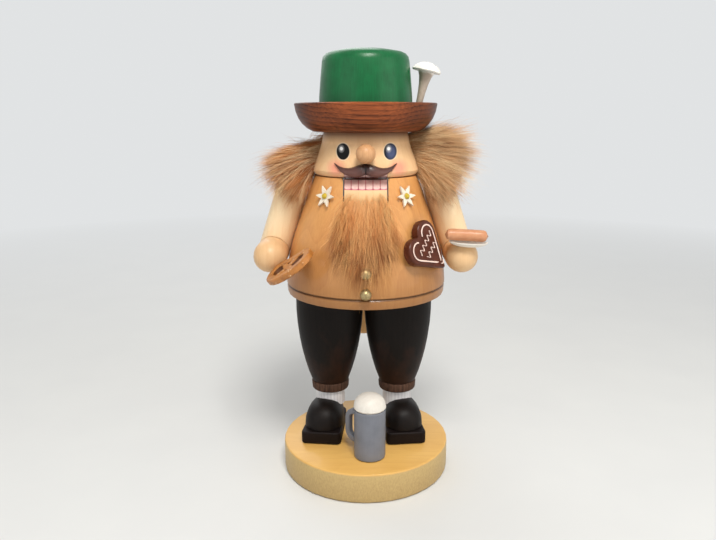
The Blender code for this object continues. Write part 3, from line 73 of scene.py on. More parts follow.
def paint(red: int, green: int, eye_reflection: int) -> tuple[float, float, float, float]:
    """A colour from its screen values.

    Args:
        red: Red from 0 to 255.
        green: Green from 0 to 255.
        eye_reflection: Blue from 0 to 255.

    Returns:
        The colour in linear light, with full alpha.
    """
    screen = [value / 255 for value in (red, green, eye_reflection)]
    linear = [c / 12.92 if c <= 0.04 else ((c + 0.055) / 1.055) ** 2.4 for c in screen]
    return linear[0], linear[1], linear[2], 1.0


class Axis(Enum):
    """The way that the wood's fibres run in a piece."""

    ACROSS = (1, 2, 0)
    UP = (0, 1, 2)


class Value:
    """An output in a node tree. On a number, Python's own signs add the Math nodes."""

    def __init__(self, nodes: "Nodes", socket: bpy.types.NodeSocket) -> None:
        """Keeps the socket that gives the value.

        Args:
            nodes: The tree that the value belongs to.
            socket: The output socket.
        """
        self.nodes = nodes
        self.socket = socket

    def _math(
        self, operation: str, first: "Number", second: "Number" = 0.0, clamp: bool = False
    ) -> "Value":
        """One Math node.

        Args:
            operation: The node's operation.
            first: Its first number.
            second: Its second number.
            clamp: Whether the result is held between 0 and 1.

        Returns:
            The result.
        """
        settings = {"operation": operation, "use_clamp": clamp}
        return self.nodes.value("ShaderNodeMath", settings, {0: first, 1: second})

    def __add__(self, other: "Number") -> "Value":
        """The sum."""
        return self._math("ADD", self, other)

    def __sub__(self, other: "Number") -> "Value":
        """The difference."""
        return self._math("SUBTRACT", self, other)

    def __rsub__(self, other: "Number") -> "Value":
        """The difference from a number."""
        return self._math("SUBTRACT", other, self)

    def __mul__(self, other: "Number") -> "Value":
        """The product."""
        return self._math("MULTIPLY", self, other)

    def __truediv__(self, other: "Number") -> "Value":
        """The quotient."""
        return self._math("DIVIDE", self, other)

    def __pow__(self, other: "Number") -> "Value":
        """The power."""
        return self._math("POWER", self, other)

    def __neg__(self) -> "Value":
        """The number with its sign turned."""
        return self._math("MULTIPLY", self, -1.0)

    __radd__ = __add__
    __rmul__ = __mul__

    def size(self) -> "Value":
        """The number without its sign."""
        return self._math("ABSOLUTE", self)

    def held(self) -> "Value":
        """The number held between 0 and 1."""
        return self._math("ADD", self, 0.0, clamp=True)

    def beat(self) -> "Value":
        """What is left past the whole number."""
        return self._math("FRACT", self)

    def sine(self) -> "Value":
        """The sine."""
        return self._math("SINE", self)

    def turn(self, other: "Number") -> "Value":
        """The angle whose tangent is this number over the other."""
        return self._math("ARCTAN2", self, other)

    def most(self, other: "Number") -> "Value":
        """The larger of the two."""
        return self._math("MAXIMUM", self, other)

    def above(self, edge: float, soft: float) -> "Value":
        """Where the number is above an edge.

        Args:
            edge: The number at the middle of the step.
            soft: The width of the step.

        Returns:
            1 above the edge, 0 below it.
        """
        return ((self - (edge - soft / 2)) / soft).held()


Number = Union[Value, float, int]
Colour = Union[Value, tuple[float, float, float, float]]


class Nodes:
    """A node tree, and the one way in which nodes are added to it."""

    def __init__(self, tree: bpy.types.NodeTree) -> None:
        """Starts with an empty tree.

        Args:
            tree: The tree of a material or a world.
        """
        self.tree = tree
        self.tree.nodes.clear()

    def feed(self, socket: bpy.types.NodeSocket, value: object) -> None:
        """Gives a socket its value or its link.

        Args:
            socket: The input socket.
            value: A Value to link, or a constant.
        """
        if isinstance(value, Value):
            self.tree.links.new(value.socket, socket)
        else:
            socket.default_value = value

    def node(
        self, kind: str, settings: Optional[dict] = None, inputs: Optional[dict] = None
    ) -> bpy.types.Node:
        """Adds one node.

        Args:
            kind: The node's type.
            settings: Its settings.
            inputs: The values or links of its sockets, by name or number.

        Returns:
            The node.
        """
        made = self.tree.nodes.new(kind)
        for name, setting in (settings or {}).items():
            setattr(made, name, setting)
        for key, value in (inputs or {}).items():
            self.feed(made.inputs[key], value)
        return made

    def value(
        self,
        kind: str,
        settings: Optional[dict] = None,
        inputs: Optional[dict] = None,
        outlet: Union[int, str] = 0,
    ) -> Value:
        """Adds one node for one of its outputs.

        Args:
            kind: The node's type.
            settings: Its settings.
            inputs: The values or links of its sockets, by name or number.
            outlet: The output, by name or number.

        Returns:
            That output.
        """
        return Value(self, self.node(kind, settings, inputs).outputs[outlet])


class Shader(Nodes):
    """A material and the nodes that make it."""

    def __init__(self, name: str) -> None:
        """Starts a material with one Principled shader.

        Args:
            name: The material's name.
        """
        self.material = bpy.data.materials.new(name)
        self.material.use_nodes = True
        super().__init__(self.material.node_tree)
        self.end = self.node("ShaderNodeOutputMaterial")
        self.surface = self.node("ShaderNodeBsdfPrincipled")
        self.feed(self.end.inputs[0], Value(self, self.surface.outputs[0]))
        self.seen: Optional[list[Value]] = None

    def where(self) -> list[Value]:
        """The place on the piece, made once for a material.

        Returns:
            Its x, y and z in millimetres.
        """
        if self.seen is None:
            place = self.value("ShaderNodeTexCoord", outlet="Object")
            parts = self.node("ShaderNodeSeparateXYZ", {}, {0: place})
            self.seen = [Value(self, part) * 1000.0 for part in parts.outputs]
        return self.seen

    def point(self, x: Number, y: Number, z: Number) -> Value:
        """A vector from three numbers."""
        return self.value("ShaderNodeCombineXYZ", {}, {0: x, 1: y, 2: z})

    def noise(self, place: Value, detail: float = 2.0, rough: float = 0.5) -> Value:
        """Smooth noise, one wave for each unit of its place.

        Args:
            place: The vector that it reads.
            detail: How many finer layers it has.
            rough: How strong these are.

        Returns:
            The noise, from 0 to 1.
        """
        inputs = {"Vector": place, "Scale": 1.0, "Detail": detail, "Roughness": rough}
        return self.value("ShaderNodeTexNoise", {}, inputs)

    def cloud(
        self, size: tuple[float, float, float], detail: float = 2.0, rough: float = 0.5
    ) -> Value:
        """Smooth noise over the piece.

        Args:
            size: The length of its waves across, deep and up, in mm.
            detail: How many finer layers it has.
            rough: How strong these are.

        Returns:
            The noise, from 0 to 1.
        """
        x, y, z = self.where()
        return self.noise(self.point(x / size[0], y / size[1], z / size[2]), detail, rough)

    def cells(self, place: Value, outlet: str = "Distance") -> Value:
        """Voronoi cells, one for each unit of their place.

        Args:
            place: The vector that they read.
            outlet: The node's output.

        Returns:
            That output.
        """
        return self.value("ShaderNodeTexVoronoi", {}, {"Vector": place, "Scale": 1.0}, outlet)

    def mix(self, first: Colour, second: Colour, share: Number) -> Value:
        """Two colours mixed.

        Args:
            first: The colour where share is 0.
            second: The colour where it is 1.
            share: The share.

        Returns:
            The mixed colour.
        """
        inputs = {0: share, 6: first, 7: second}
        return self.value("ShaderNodeMix", {"data_type": "RGBA"}, inputs, 2)

    def own(self, name: str) -> Value:
        """A number that the piece's mesh carries as an attribute."""
        return self.value("ShaderNodeAttribute", {"attribute_name": name}, outlet="Fac")

    def finish(
        self,
        base: Colour,
        rough: Number,
        height: Optional[Value] = None,
        relief: float = 0.1,
        **rest: float,
    ) -> None:
        """Puts the pattern on the surface.

        Args:
            base: The colour.
            rough: The roughness.
            height: The relief's height, in mm.
            relief: How strongly it shows.
            **rest: Constants of the Principled shader, with _ for spaces.
        """
        self.feed(self.surface.inputs["Base Color"], base)
        self.feed(self.surface.inputs["Roughness"], rough)
        if height is not None:
            inputs = {"Strength": relief, "Distance": MM, "Height": height}
            self.feed(self.surface.inputs["Normal"], self.value("ShaderNodeBump", {}, inputs))
        for name, value in rest.items():
            self.feed(self.surface.inputs[name.replace("_", " ")], value)


# Finishes


@dataclass(frozen=True)
class Finish:
    """What a surface is finished with."""

    name: str

    def dress(self, shader: Shader) -> None:
        """Makes the finish in a material.

        Args:
            shader: The material.

        Raises:
            NotImplementedError: Always, because each finish has its own way.
        """
        raise NotImplementedError

    def material(self) -> bpy.types.Material:
        """The finish's material, made once.

        Returns:
            The material.
        """
        title = f"look_{self.name}"
        known = bpy.data.materials.get(title)
        if known is not None:
            return known
        shader = Shader(title)
        self.dress(shader)
        return shader.material


@dataclass(frozen=True)
class Wood(Finish):
    """Wood that shows its year rings and fibres, bare, waxed or stained."""

    light: tuple[float, ...] = paint(228, 196, 146)
    dark: tuple[float, ...] = paint(196, 152, 98)
    grain: Axis = Axis.UP
    heart: tuple[float, float] = (46.0, 22.0)
    ring: float = 2.4
    ring_depth: float = 0.45
    fibre_depth: float = 0.5
    cloud_depth: float = 0.35
    fibre: float = 0.7
    roughness: float = 0.42
    coat: float = 0.0
    coat_roughness: float = 0.2
    lathe: float = 0.0
    relief: float = 0.12
    specular: float = 0.3
    sway: float = 5.0
    sway_size: tuple[float, float] = (26.0, 70.0)
    cloud_size: tuple[float, float] = (14.0, 40.0)
    fibre_length: float = 26.0
    ring_edge: float = 2.5
    fibre_contrast: float = 2.2
    cloud_contrast: float = 1.6
    ground_depth: float = 0.3
    fibre_height: float = 0.25
    even_height: float = 0.12
    rough_contrast: float = 0.3
    lathe_waves: float = 1.7

    def grain_of(self, shader: Shader) -> tuple[Value, Value]:
        """The wood's pattern.

        Args:
            shader: The material.

        Returns:
            How dark the wood is from 0 to 1, and the height of its fibres.
        """
        place = shader.where()
        across, deep, along = (place[i] for i in self.grain.value)
        wide, long = self.sway_size
        sway = shader.noise(shader.point(across / wide, deep / wide, along / long), 1.0) - 0.5
        sideways, inward = across - self.heart[0], deep - self.heart[1]
        reach = (sideways * sideways + inward * inward) ** 0.5 + sway * (self.ring * self.sway)
        late = (reach / self.ring).beat() ** self.ring_edge
        long = self.fibre * self.fibre_length
        fine = shader.point(across / self.fibre, deep / self.fibre, along / long)
        fibres = shader.noise(fine, 3.0, 0.62)
        wide, long = self.cloud_size
        cloud = shader.noise(shader.point(across / wide, deep / wide, along / long), 2.0)
        depth = late * self.ring_depth
        depth = depth + (fibres - 0.5) * (self.fibre_contrast * self.fibre_depth)
        depth = depth + (cloud - 0.5) * (self.cloud_contrast * self.cloud_depth)
        return (depth + self.ground_depth).held(), fibres

    def colour(self, shader: Shader) -> tuple[Value, Value]:
        """The wood's colour and its relief.

        Args:
            shader: The material.

        Returns:
            The colour, and the height in mm.
        """
        depth, fibres = self.grain_of(shader)
        height = fibres * self.fibre_height
        if self.lathe:
            _, _, z = shader.where()
            marks = shader.noise(shader.point(0.0, 0.0, z * self.lathe_waves), 2.0, 0.7)
            height = height + marks * self.lathe
        return shader.mix(self.light, self.dark, depth), height

    def wax(self) -> dict[str, float]:
        """The gloss, as constants of the Principled shader."""
        return {"Coat_Weight": self.coat, "Specular_IOR_Level": self.specular}

    def dress(self, shader: Shader) -> None:
        """Makes the wood in a material.

        Args:
            shader: The material.
        """
        base, height = self.colour(shader)
        rough = (height - self.even_height) * self.rough_contrast + self.roughness
        gloss = {"Coat_Roughness": self.coat_roughness, **self.wax()}
        shader.finish(base, rough, height, self.relief, **gloss)


@dataclass(frozen=True)
class RubbedStain(Wood):
    """Dark stain that is rubbed back to the wood where the piece is handled."""

    rubbed: tuple[float, ...] = paint(112, 66, 42)
    top: float = 90.0
    low: float = 62.0
    patch: tuple[float, float, float] = (9.0, 9.0, 14.0)
    patch_contrast: float = 1.4
    fade_share: float = 0.6
    sound_share: float = 0.1
    strength: float = 0.6
    polish: float = 0.1

    def dress(self, shader: Shader) -> None:
        """Makes the stained wood in a material.

        Args:
            shader: The material.
        """
        base, height = self.colour(shader)
        _, _, z = shader.where()
        worn = (shader.cloud(self.patch, 4.0, 0.6) - 0.5) * self.patch_contrast
        fade = ((self.top - z) / (self.top - self.low)).held() * self.fade_share
        share = (worn + fade - self.sound_share).held() * self.strength
        base = shader.mix(base, self.rubbed, share)
        rough = self.roughness - share * self.polish
        shader.finish(base, rough, height, self.relief, **self.wax())


@dataclass(frozen=True)
class Bell:
    """The line of the body's front beside the slot. Sizes are in millimetres."""

    top: float = 187.0
    front: float = -18.2
    slant: float = 0.27

    def depth(self, y: Value, z: Value) -> Value:
        """How far behind the front a place is."""
        return y - self.front + (self.top - z) * self.slant


@dataclass(frozen=True)
class Slotted(Wood):
    """The body's wood, with painted shade on the walls of its slot, in its groove and towards its
    foot.
    """

    bell: Bell = Bell()
    wall: float = 13.7
    wall_soft: float = 0.4
    inset: float = 0.9
    inset_soft: float = 0.8
    floor: float = 150.0
    floor_soft: float = 4.0
    # Painted shade for the walls of the slot and for the groove.
    recess_shade: tuple[float, ...] = paint(40, 20, 14)
    # Painted shade, darker towards the foot of the bell.
    foot_shade: tuple[float, ...] = paint(120, 76, 40)
    foot_shade_top: float = 152.0
    foot_shade_height: float = 36.0
    foot_shade_strength: float = 0.65
    groove: float = 120.0
    groove_half: float = 0.8
    groove_shade_strength: float = 0.7
    recess_shade_strength: float = 0.95

    def dress(self, shader: Shader) -> None:
        """Makes the wood in a material.

        Args:
            shader: The material.
        """
        base, height = self.colour(shader)
        x, y, z = shader.where()
        # Painted shade on the slot's walls, behind the bell's front beside the jaw.
        behind = self.bell.depth(y, z).above(self.inset, self.inset_soft)
        inside = (self.wall - x.size()).above(0.0, self.wall_soft) * behind
        inside = inside * z.above(self.floor, self.floor_soft)
        # Painted shade, darker towards the foot of the bell.
        low = ((self.foot_shade_top - z) / self.foot_shade_height).held()
        # Painted shade in the groove round the foot.
        line = (self.groove_half - (z - self.groove).size()).above(0.0, self.groove_half)
        dark = (inside * self.recess_shade_strength).most(line * self.groove_shade_strength)
        base = shader.mix(base, self.foot_shade, low * self.foot_shade_strength)
        base = shader.mix(base, self.recess_shade, dark)
        rough = inside * (1.0 - self.roughness) + self.roughness
        shader.finish(base, rough, height, self.relief, **self.wax())


@dataclass(frozen=True)
class Turned(Wood):
    """Stained wood with its fibres across, darker where the turning cuts their ends, with painted
    shade over its lower part.
    """

    ends: tuple[float, ...] = paint(40, 22, 16)
    start: float = 8.0
    reach: float = 40.0
    ends_edge: float = 1.5
    ends_strength: float = 0.66
    # Painted shade over the brim's lower part, in the colour of the end grain.
    foot: float = 221.0
    brim_shade_height: float = 6.0
    brim_shade_strength: float = 0.3

    def dress(self, shader: Shader) -> None:
        """Makes the wood in a material.

        Args:
            shader: The material.
        """
        base, height = self.colour(shader)
        x, _, z = shader.where()
        cut = ((x.size() - self.start) / (self.reach - self.start)).held() ** self.ends_edge
        # Painted shade, darker towards the lower part of the brim.
        foot = ((self.foot - z) / self.brim_shade_height).held() * self.brim_shade_strength
        base = shader.mix(base, self.ends, (cut * self.ends_strength).most(foot))
        shader.finish(base, self.roughness, height, self.relief, **self.wax())


@dataclass(frozen=True)
class Rim(Wood):
    """Waxed wood on top, with paler and rougher end grain round the turned rim."""

    rim: tuple[float, ...] = paint(190, 166, 116)
    pores: tuple[float, ...] = paint(150, 126, 84)
    pore_size: tuple[float, float, float] = (0.8, 0.8, 1.6)
    pore_contrast: float = 1.6
    top: float = 18.0
    top_soft: float = 0.8
    low_share: float = 0.5
    strength: float = 0.85
    rougher: float = 0.12

    def dress(self, shader: Shader) -> None:
        """Makes the wood in a material.

        Args:
            shader: The material.
        """
        base, height = self.colour(shader)
        _, _, z = shader.where()
        speckle = (shader.cloud(self.pore_size, 3.0, 0.7) - 0.45) * self.pore_contrast
        low = (1.0 - z / self.top).held() * self.low_share
        ends = shader.mix(self.rim, self.pores, (speckle + low).held())
        side = (self.top - z).above(0.0, self.top_soft)
        base = shader.mix(base, ends, side * self.strength)
        rough = side * self.rougher + self.roughness
        shader.finish(base, rough, height, self.relief, **self.wax())


@dataclass(frozen=True)
class Lacquer(Finish):
    """Even paint or lacquer that lets a little of the wood's relief through."""

    shade: tuple[float, ...] = paint(10, 104, 56)
    deep: tuple[float, ...] = paint(2, 76, 38)
    roughness: float = 0.36
    coat: float = 0.1
    grain: float = 1.0
    relief: float = 0.05
    size: float = 9.0
    specular: float = 0.25
    coat_roughness: float = 0.2
    streak_size: tuple[float, float, float] = (0.9, 0.9, 18.0)
    cloud_contrast: float = 1.2
    deep_share: float = 0.45
    rough_contrast: float = 0.16
    streak_height: float = 0.2
    cloud_height: float = 0.3

    def gloss(self) -> dict[str, float]:
        """The gloss, as constants of the Principled shader."""
        return {
            "Coat_Weight": self.coat,
            "Coat_Roughness": self.coat_roughness,
            "Specular_IOR_Level": self.specular,
        }

    def dress(self, shader: Shader) -> None:
        """Makes the lacquer in a material.

        Args:
            shader: The material.
        """
        streaks = shader.cloud(self.streak_size, 3.0, 0.6)
        cloud = shader.cloud((self.size, self.size, self.size), 3.0, 0.55)
        share = (streaks - 0.5) * self.grain + (cloud - 0.5) * self.cloud_contrast
        base = shader.mix(self.shade, self.deep, (share + self.deep_share).held())
        rough = (cloud - 0.5) * self.rough_contrast + self.roughness
        height = streaks * self.streak_height + cloud * self.cloud_height
        shader.finish(base, rough, height, self.relief, **self.gloss())


@dataclass(frozen=True)
class Brush(Lacquer):
    """The hat brush's paint: a white cap on a grey-brown stem."""

    relief: float = 0.06
    worn: tuple[float, ...] = paint(206, 192, 176)
    patch: tuple[float, float, float] = (3.0, 3.0, 5.0)
    cap: float = 247.0
    cap_soft: float = 1.2
    cap_ragged: float = 2.0
    middle: float = 36.0
    tilt: float = 0.22

    def dress(self, shader: Shader) -> None:
        """Makes the paint in a material.

        Args:
            shader: The material.
        """
        x, _, z = shader.where()
        slope = z + (x - self.middle) * self.tilt
        cloud = shader.cloud(self.patch, 3.0, 0.6)
        white = (slope + (cloud - 0.5) * self.cap_ragged).above(self.cap, self.cap_soft)
        stem = shader.mix(self.deep, self.worn, (cloud * 1.2 - 0.1).held())
        base = shader.mix(stem, self.shade, white)
        shader.finish(base, self.roughness + cloud * 0.1, cloud, self.relief, Coat_Weight=self.coat)


@dataclass(frozen=True)
class Moustache(Lacquer):
    """The moustache's dark paint, with the nose's shadow painted over its top and middle, and painted
    shade in the line that parts it.
    """

    relief: float = 0.3
    specular: float = 0.4
    coat_roughness: float = 0.22
    streak_size: tuple[float, float, float] = (5.0, 0.8, 0.8)
    # Painted shade in the groove that parts the lobes.
    gap: tuple[float, ...] = paint(12, 8, 8)
    gap_half: float = 0.28
    gap_soft: float = 0.3
    gap_depth: float = 0.8
    parting_shade_strength: float = 0.9
    # Painted shadow of the nose: darker towards the top and the middle.
    top: float = 194.5
    low: float = 189.0
    nose_shadow_top: float = 0.8
    middle: float = 3.2
    middle_soft: float = 6.0
    nose_shadow_middle: float = 0.45
    streak_share: float = 0.6

    def dress(self, shader: Shader) -> None:
        """Makes the paint in a material.

        Args:
            shader: The material.
        """
        x, _, z = shader.where()
        streaks = shader.cloud(self.streak_size, 3.0, 0.6)
        # Painted shadow of the nose, darker towards the top and the middle.
        fade = ((z - self.low) / (self.top - self.low)).held()
        middle = 1.0 - x.size().above(self.middle, self.middle_soft)
        share = fade * self.nose_shadow_top + middle * self.nose_shadow_middle
        share = (share + (streaks - 0.5) * self.grain * self.streak_share).held()
        # Painted shade in the parting groove.
        shaded_parting = 1.0 - x.size().above(self.gap_half, self.gap_soft)
        base = shader.mix(self.shade, self.deep, share)
        base = shader.mix(base, self.gap, shaded_parting * self.parting_shade_strength)
        height = streaks * self.streak_height - shaded_parting * self.gap_depth
        shader.finish(base, self.roughness, height, self.relief, **self.gloss())


@dataclass(frozen=True)
class Spot:
    """An oval of paint, seen from the front. Sizes are in millimetres."""

    shade: tuple[float, ...]
    radii: tuple[float, float]
    soft: float
    shift: tuple[float, float] = (0.0, 0.0)
    strength: float = 1.0

    def mask(self, shader: Shader, centre: tuple[float, float]) -> Value:
        """Where the oval is.

        Args:
            shader: The material.
            centre: The place that the oval belongs to, across and up.

        Returns:
            1 in the oval, 0 outside.
        """
        x, _, z = shader.where()
        across = (x - (centre[0] + self.shift[0])) / self.radii[0]
        up = (z - (centre[1] + self.shift[1])) / self.radii[1]
        reach = (across * across + up * up) ** 0.5
        return ((1.0 - reach) * (min(self.radii) / self.soft) + 0.5).held()

    def over(self, shader: Shader, under: Colour, centre: tuple[float, float]) -> Value:
        """Paints the oval.

        Args:
            shader: The material.
            under: The colour round the oval.
            centre: The place that the oval belongs to, across and up.

        Returns:
            The colour with the oval on it.
        """
        return shader.mix(under, self.shade, self.mask(shader, centre) * self.strength)


@dataclass(frozen=True)
class Teeth:
    """A painted row of teeth, seen from the front. Sizes are in millimetres."""

    low: float
    high: float
    bow: float
    shadow: float
    shadow_soft: float
    shadow_above: bool
    half: float = 12.5
    width: float = 4.15
    white: tuple[float, ...] = paint(238, 204, 194)
    pink: tuple[float, ...] = paint(214, 150, 148)
    shaded: tuple[float, ...] = paint(116, 70, 62)
    shaded_strength: float = 0.82
    gum: tuple[float, ...] = paint(198, 84, 112)
    gum_height: float = 0.45
    gum_soft: float = 0.35
    gum_strength: float = 0.85
    line: tuple[float, ...] = paint(122, 24, 40)
    line_half: float = 0.24
    line_strength: float = 0.8
    edge_soft: float = 0.3
    wash_size: tuple[float, float, float] = (1.6, 1.6, 1.2)

    def over(self, shader: Shader, under: Colour) -> Value:
        """Paints the row.

        Args:
            shader: The material.
            under: The colour round the teeth.

        Returns:
            The colour with the teeth on it.
        """
        x, y, z = shader.where()
        column = (x / self.width).beat() - 0.5
        inside = (self.half - x.size()).above(0.0, self.edge_soft) * (-y).above(0.0, 1.0)
        inside = inside * z.above(self.low, self.edge_soft)
        inside = inside * (self.high - z).above(0.0, self.edge_soft)
        line = 1.0 - ((0.5 - column.size()) * self.width).above(self.line_half, self.edge_soft)
        rise = z - self.low - column * column * self.bow
        foot = 1.0 - rise.above(self.gum_height, self.gum_soft)
        wash = shader.cloud(self.wash_size)
        white = shader.mix(self.white, self.pink, ((wash - 0.3) * 1.4).held())
        depth = z - self.shadow if self.shadow_above else self.shadow - z
        shade = depth.above(0.0, self.shadow_soft) * self.shaded_strength
        tooth = shader.mix(white, self.shaded, shade)
        tooth = shader.mix(tooth, self.gum, foot * self.gum_strength)
        tooth = shader.mix(tooth, self.line, line * self.line_strength)
        return shader.mix(under, tooth, inside)


@dataclass(frozen=True)
class Face(Wood):
    """The head's bare wood with its painted eyes, cheeks and upper teeth, a painted highlight and
    reflection in the eyes, and the brim's shadow painted over its brow.
    """

    specular: float = 0.16
    # Painted shadow of the brim over the brow.
    shadow: tuple[float, ...] = paint(120, 86, 66)
    shadow_strength: float = 0.9
    brow: float = 206.8
    brow_height: float = 5.0
    eyes: tuple[tuple[float, float], ...] = ((-13.05, 202.2), (14.2, 202.2))
    # How strongly each eye shows the painted reflection.
    reflection_shares: tuple[float, ...] = (0.0, 0.8)
    eye_roughness: float = 0.3
    lid: Spot = Spot(paint(240, 226, 206), (4.2, 4.95), 0.4, strength=0.6)
    ink: Spot = Spot(paint(6, 5, 5), (3.8, 4.6), 0.35)
    # Painted reflection: a slate blue glow in the eye.
    eye_reflection: Spot = Spot(paint(82, 92, 128), (2.7, 3.7), 2.2, (0.6, -0.3))
    # Painted highlight on each eye: a grey halo with a white glint in it.
    glint_halo: Spot = Spot(paint(214, 214, 214), (1.5, 1.9), 1.0, (-0.95, 1.5), 0.4)
    glint: Spot = Spot(paint(252, 252, 250), (0.95, 1.0), 0.3, (-0.95, 1.6))
    cheeks: tuple[tuple[float, float], ...] = ((-16.9, 192.8), (19.0, 192.8))
    cheek: Spot = Spot(paint(232, 138, 122), (4.4, 4.0), 4.4, strength=0.7)
    row: Teeth = Teeth(187.2, 191.6, 0.0, 188.4, 1.4, shadow_above=False)

    def dress(self, shader: Shader) -> None:
        """Makes the painted face in a material.

        Args:
            shader: The material.
        """
        bare, height = self.colour(shader)
        _, y, z = shader.where()
        # Painted shadow of the brim, darker towards the top of the brow.
        brim_shadow = ((z - self.brow) / self.brow_height).held()
        bare = shader.mix(bare, self.shadow, brim_shadow * self.shadow_strength)
        front = (-y).above(0.0, 1.0)
        base = bare
        for centre in self.cheeks:
            base = self.cheek.over(shader, base, centre)
        base = self.row.over(shader, base)
        gloss: Number = 0.0
        for centre, sheen in zip(self.eyes, self.reflection_shares):
            eye = self.ink.mask(shader, centre)
            # Painted reflection in the eye, as strong as the eye's share.
            reflected = self.eye_reflection.mask(shader, centre) * sheen
            base = self.lid.over(shader, base, centre)
            base = shader.mix(base, self.ink.shade, eye)
            base = shader.mix(base, self.eye_reflection.shade, reflected * eye)
            # Painted highlight: halo and glint.
            base = self.glint_halo.over(shader, base, centre)
            base = self.glint.over(shader, base, centre)
            gloss = eye + gloss
        base = shader.mix(bare, base, front)
        rough = self.roughness - gloss * front * (self.roughness - self.eye_roughness)
        shader.finish(base, rough, height, self.relief, **self.wax())


@dataclass(frozen=True)
class Jaw(Wood):
    """The lever's wood, with the lower teeth painted on its front end, painted light on its chin, and
    painted shade on its sides and top edge where they sit in the slot and under the head.
    """

    specular: float = 0.2
    bell: Bell = Bell()
    # Painted light: the chin under the teeth is paler where light falls on it.
    pale: tuple[float, ...] = paint(236, 205, 160)
    # Painted shade for the sides in the slot and the top edge under the head.
    recess_shade: tuple[float, ...] = paint(46, 22, 16)
    back: float = -8.0
    half: float = 12.3
    half_soft: float = 0.3
    inset: float = 1.8
    chin: float = 176.0
    chin_soft: float = 8.0
    chin_light_strength: float = 0.75
    top: float = 186.65
    top_soft: float = 0.25
    radius: float = 31.3
    radius_soft: float = 0.6
    row: Teeth = Teeth(180.9, 187.0, 2.4, 183.5, 2.4, shadow_above=True)

    def dress(self, shader: Shader) -> None:
        """Makes the lever in a material.

        Args:
            shader: The material.
        """
        base, height = self.colour(shader)
        x, y, z = shader.where()
        inward = y - AXIS_Y
        front = (self.back - y).above(0.0, 1.0)
        reach = (x * x + inward * inward) ** 0.5
        shell = reach.above(self.radius, self.radius_soft) * front
        sunk = self.bell.depth(y, z).above(self.inset, 1.0)
        # Painted shade on the sides where they sit in the slot, and on the top edge under the head.
        edge = x.size().above(self.half, self.half_soft) * (1.0 - sunk)
        shaded_recess = edge.most(z.above(self.top, self.top_soft) * shell) * front
        # Painted light on the chin, paler towards the teeth.
        chin = z.above(self.chin, self.chin_soft) * shell
        base = shader.mix(base, self.pale, chin * self.chin_light_strength)
        base = shader.mix(base, self.row.over(shader, base), shell)
        base = shader.mix(base, self.recess_shade, shaded_recess)
        rough = shaded_recess * (1.0 - self.roughness) + self.roughness
        shader.finish(base, rough, height, self.relief, **self.wax())


@dataclass(frozen=True)
class Metal(Finish):
    """Worn metal."""

    shade: tuple[float, ...] = paint(176, 156, 112)
    dull: tuple[float, ...] = paint(120, 104, 76)
    roughness: float = 0.36
    metallic: float = 0.85
    patch: tuple[float, float, float] = (1.2, 1.2, 1.2)
    dull_start: float = 0.42
    dull_contrast: float = 2.2
    dull_roughness: float = 0.25

    def dress(self, shader: Shader) -> None:
        """Makes the metal in a material.

        Args:
            shader: The material.
        """
        cloud = shader.cloud(self.patch, 4.0, 0.7)
        share = ((cloud - self.dull_start) * self.dull_contrast).held()
        base = shader.mix(self.shade, self.dull, share)
        rough = share * self.dull_roughness + self.roughness
        shader.finish(base, rough, cloud, Metallic=self.metallic)


@dataclass(frozen=True)
class Coat(Finish):
    """Fur, with its own colour for each hair and dark strands, which low on the beard are painted
    shade between the clumps.
    """

    root: tuple[float, ...] = paint(190, 142, 96)
    middle: tuple[float, ...] = paint(226, 182, 134)
    tip: tuple[float, ...] = paint(240, 208, 166)
    # Dark strands: real dark hairs, and on the beard painted shade between the clumps, more towards
    # the tips and low down.
    strand_and_shade: tuple[float, ...] = paint(150, 100, 62)
    blond: tuple[float, ...] = paint(255, 226, 176)
    streaks: float = 0.3
    tip_shade: float = 0.0
    patch: float = 11.0
    shade_heights: tuple[float, float] = (400.0, 300.0)
    roughness: float = 0.62
    specular: float = 0.28
    root_end: float = 0.45
    tip_start: float = 0.5
    tip_strength: float = 0.9
    strand_and_shade_strength: float = 0.8
    blond_start: float = 0.64
    blond_strength: float = 0.8
    tone_roughness: float = 0.12

    def dress(self, shader: Shader) -> None:
        """Makes the fur in a material.

        Args:
            shader: The material.
        """
        along, tone = shader.own("along"), shader.own("tone")
        _, _, z = shader.where()
        cloud = shader.cloud((self.patch, self.patch, self.patch))
        rooted = ((along + (cloud - 0.5) * 0.5) / self.root_end).held()
        tipped = (along - self.tip_start + (tone - 0.5) * 0.6) / (1.0 - self.tip_start)
        # Dark strands, which on the beard are painted shade between the clumps.
        dark = cloud * 0.8 - tone * 0.9 + along * self.tip_shade
        dark = dark.above(0.2 - self.streaks, 0.2)
        dark = dark * ((self.shade_heights[0] - z) / (self.shade_heights[0] - self.shade_heights[1])).held()
        body = shader.mix(self.root, self.middle, rooted)
        body = shader.mix(body, self.tip, tipped.held() * self.tip_strength)
        body = shader.mix(body, self.strand_and_shade, dark * self.strand_and_shade_strength)
        fair = tone.above(self.blond_start, 0.12) * self.blond_strength
        body = shader.mix(body, self.blond, fair)
        rough = self.roughness - tone * self.tone_roughness
        shader.finish(body, rough, Specular_IOR_Level=self.specular)


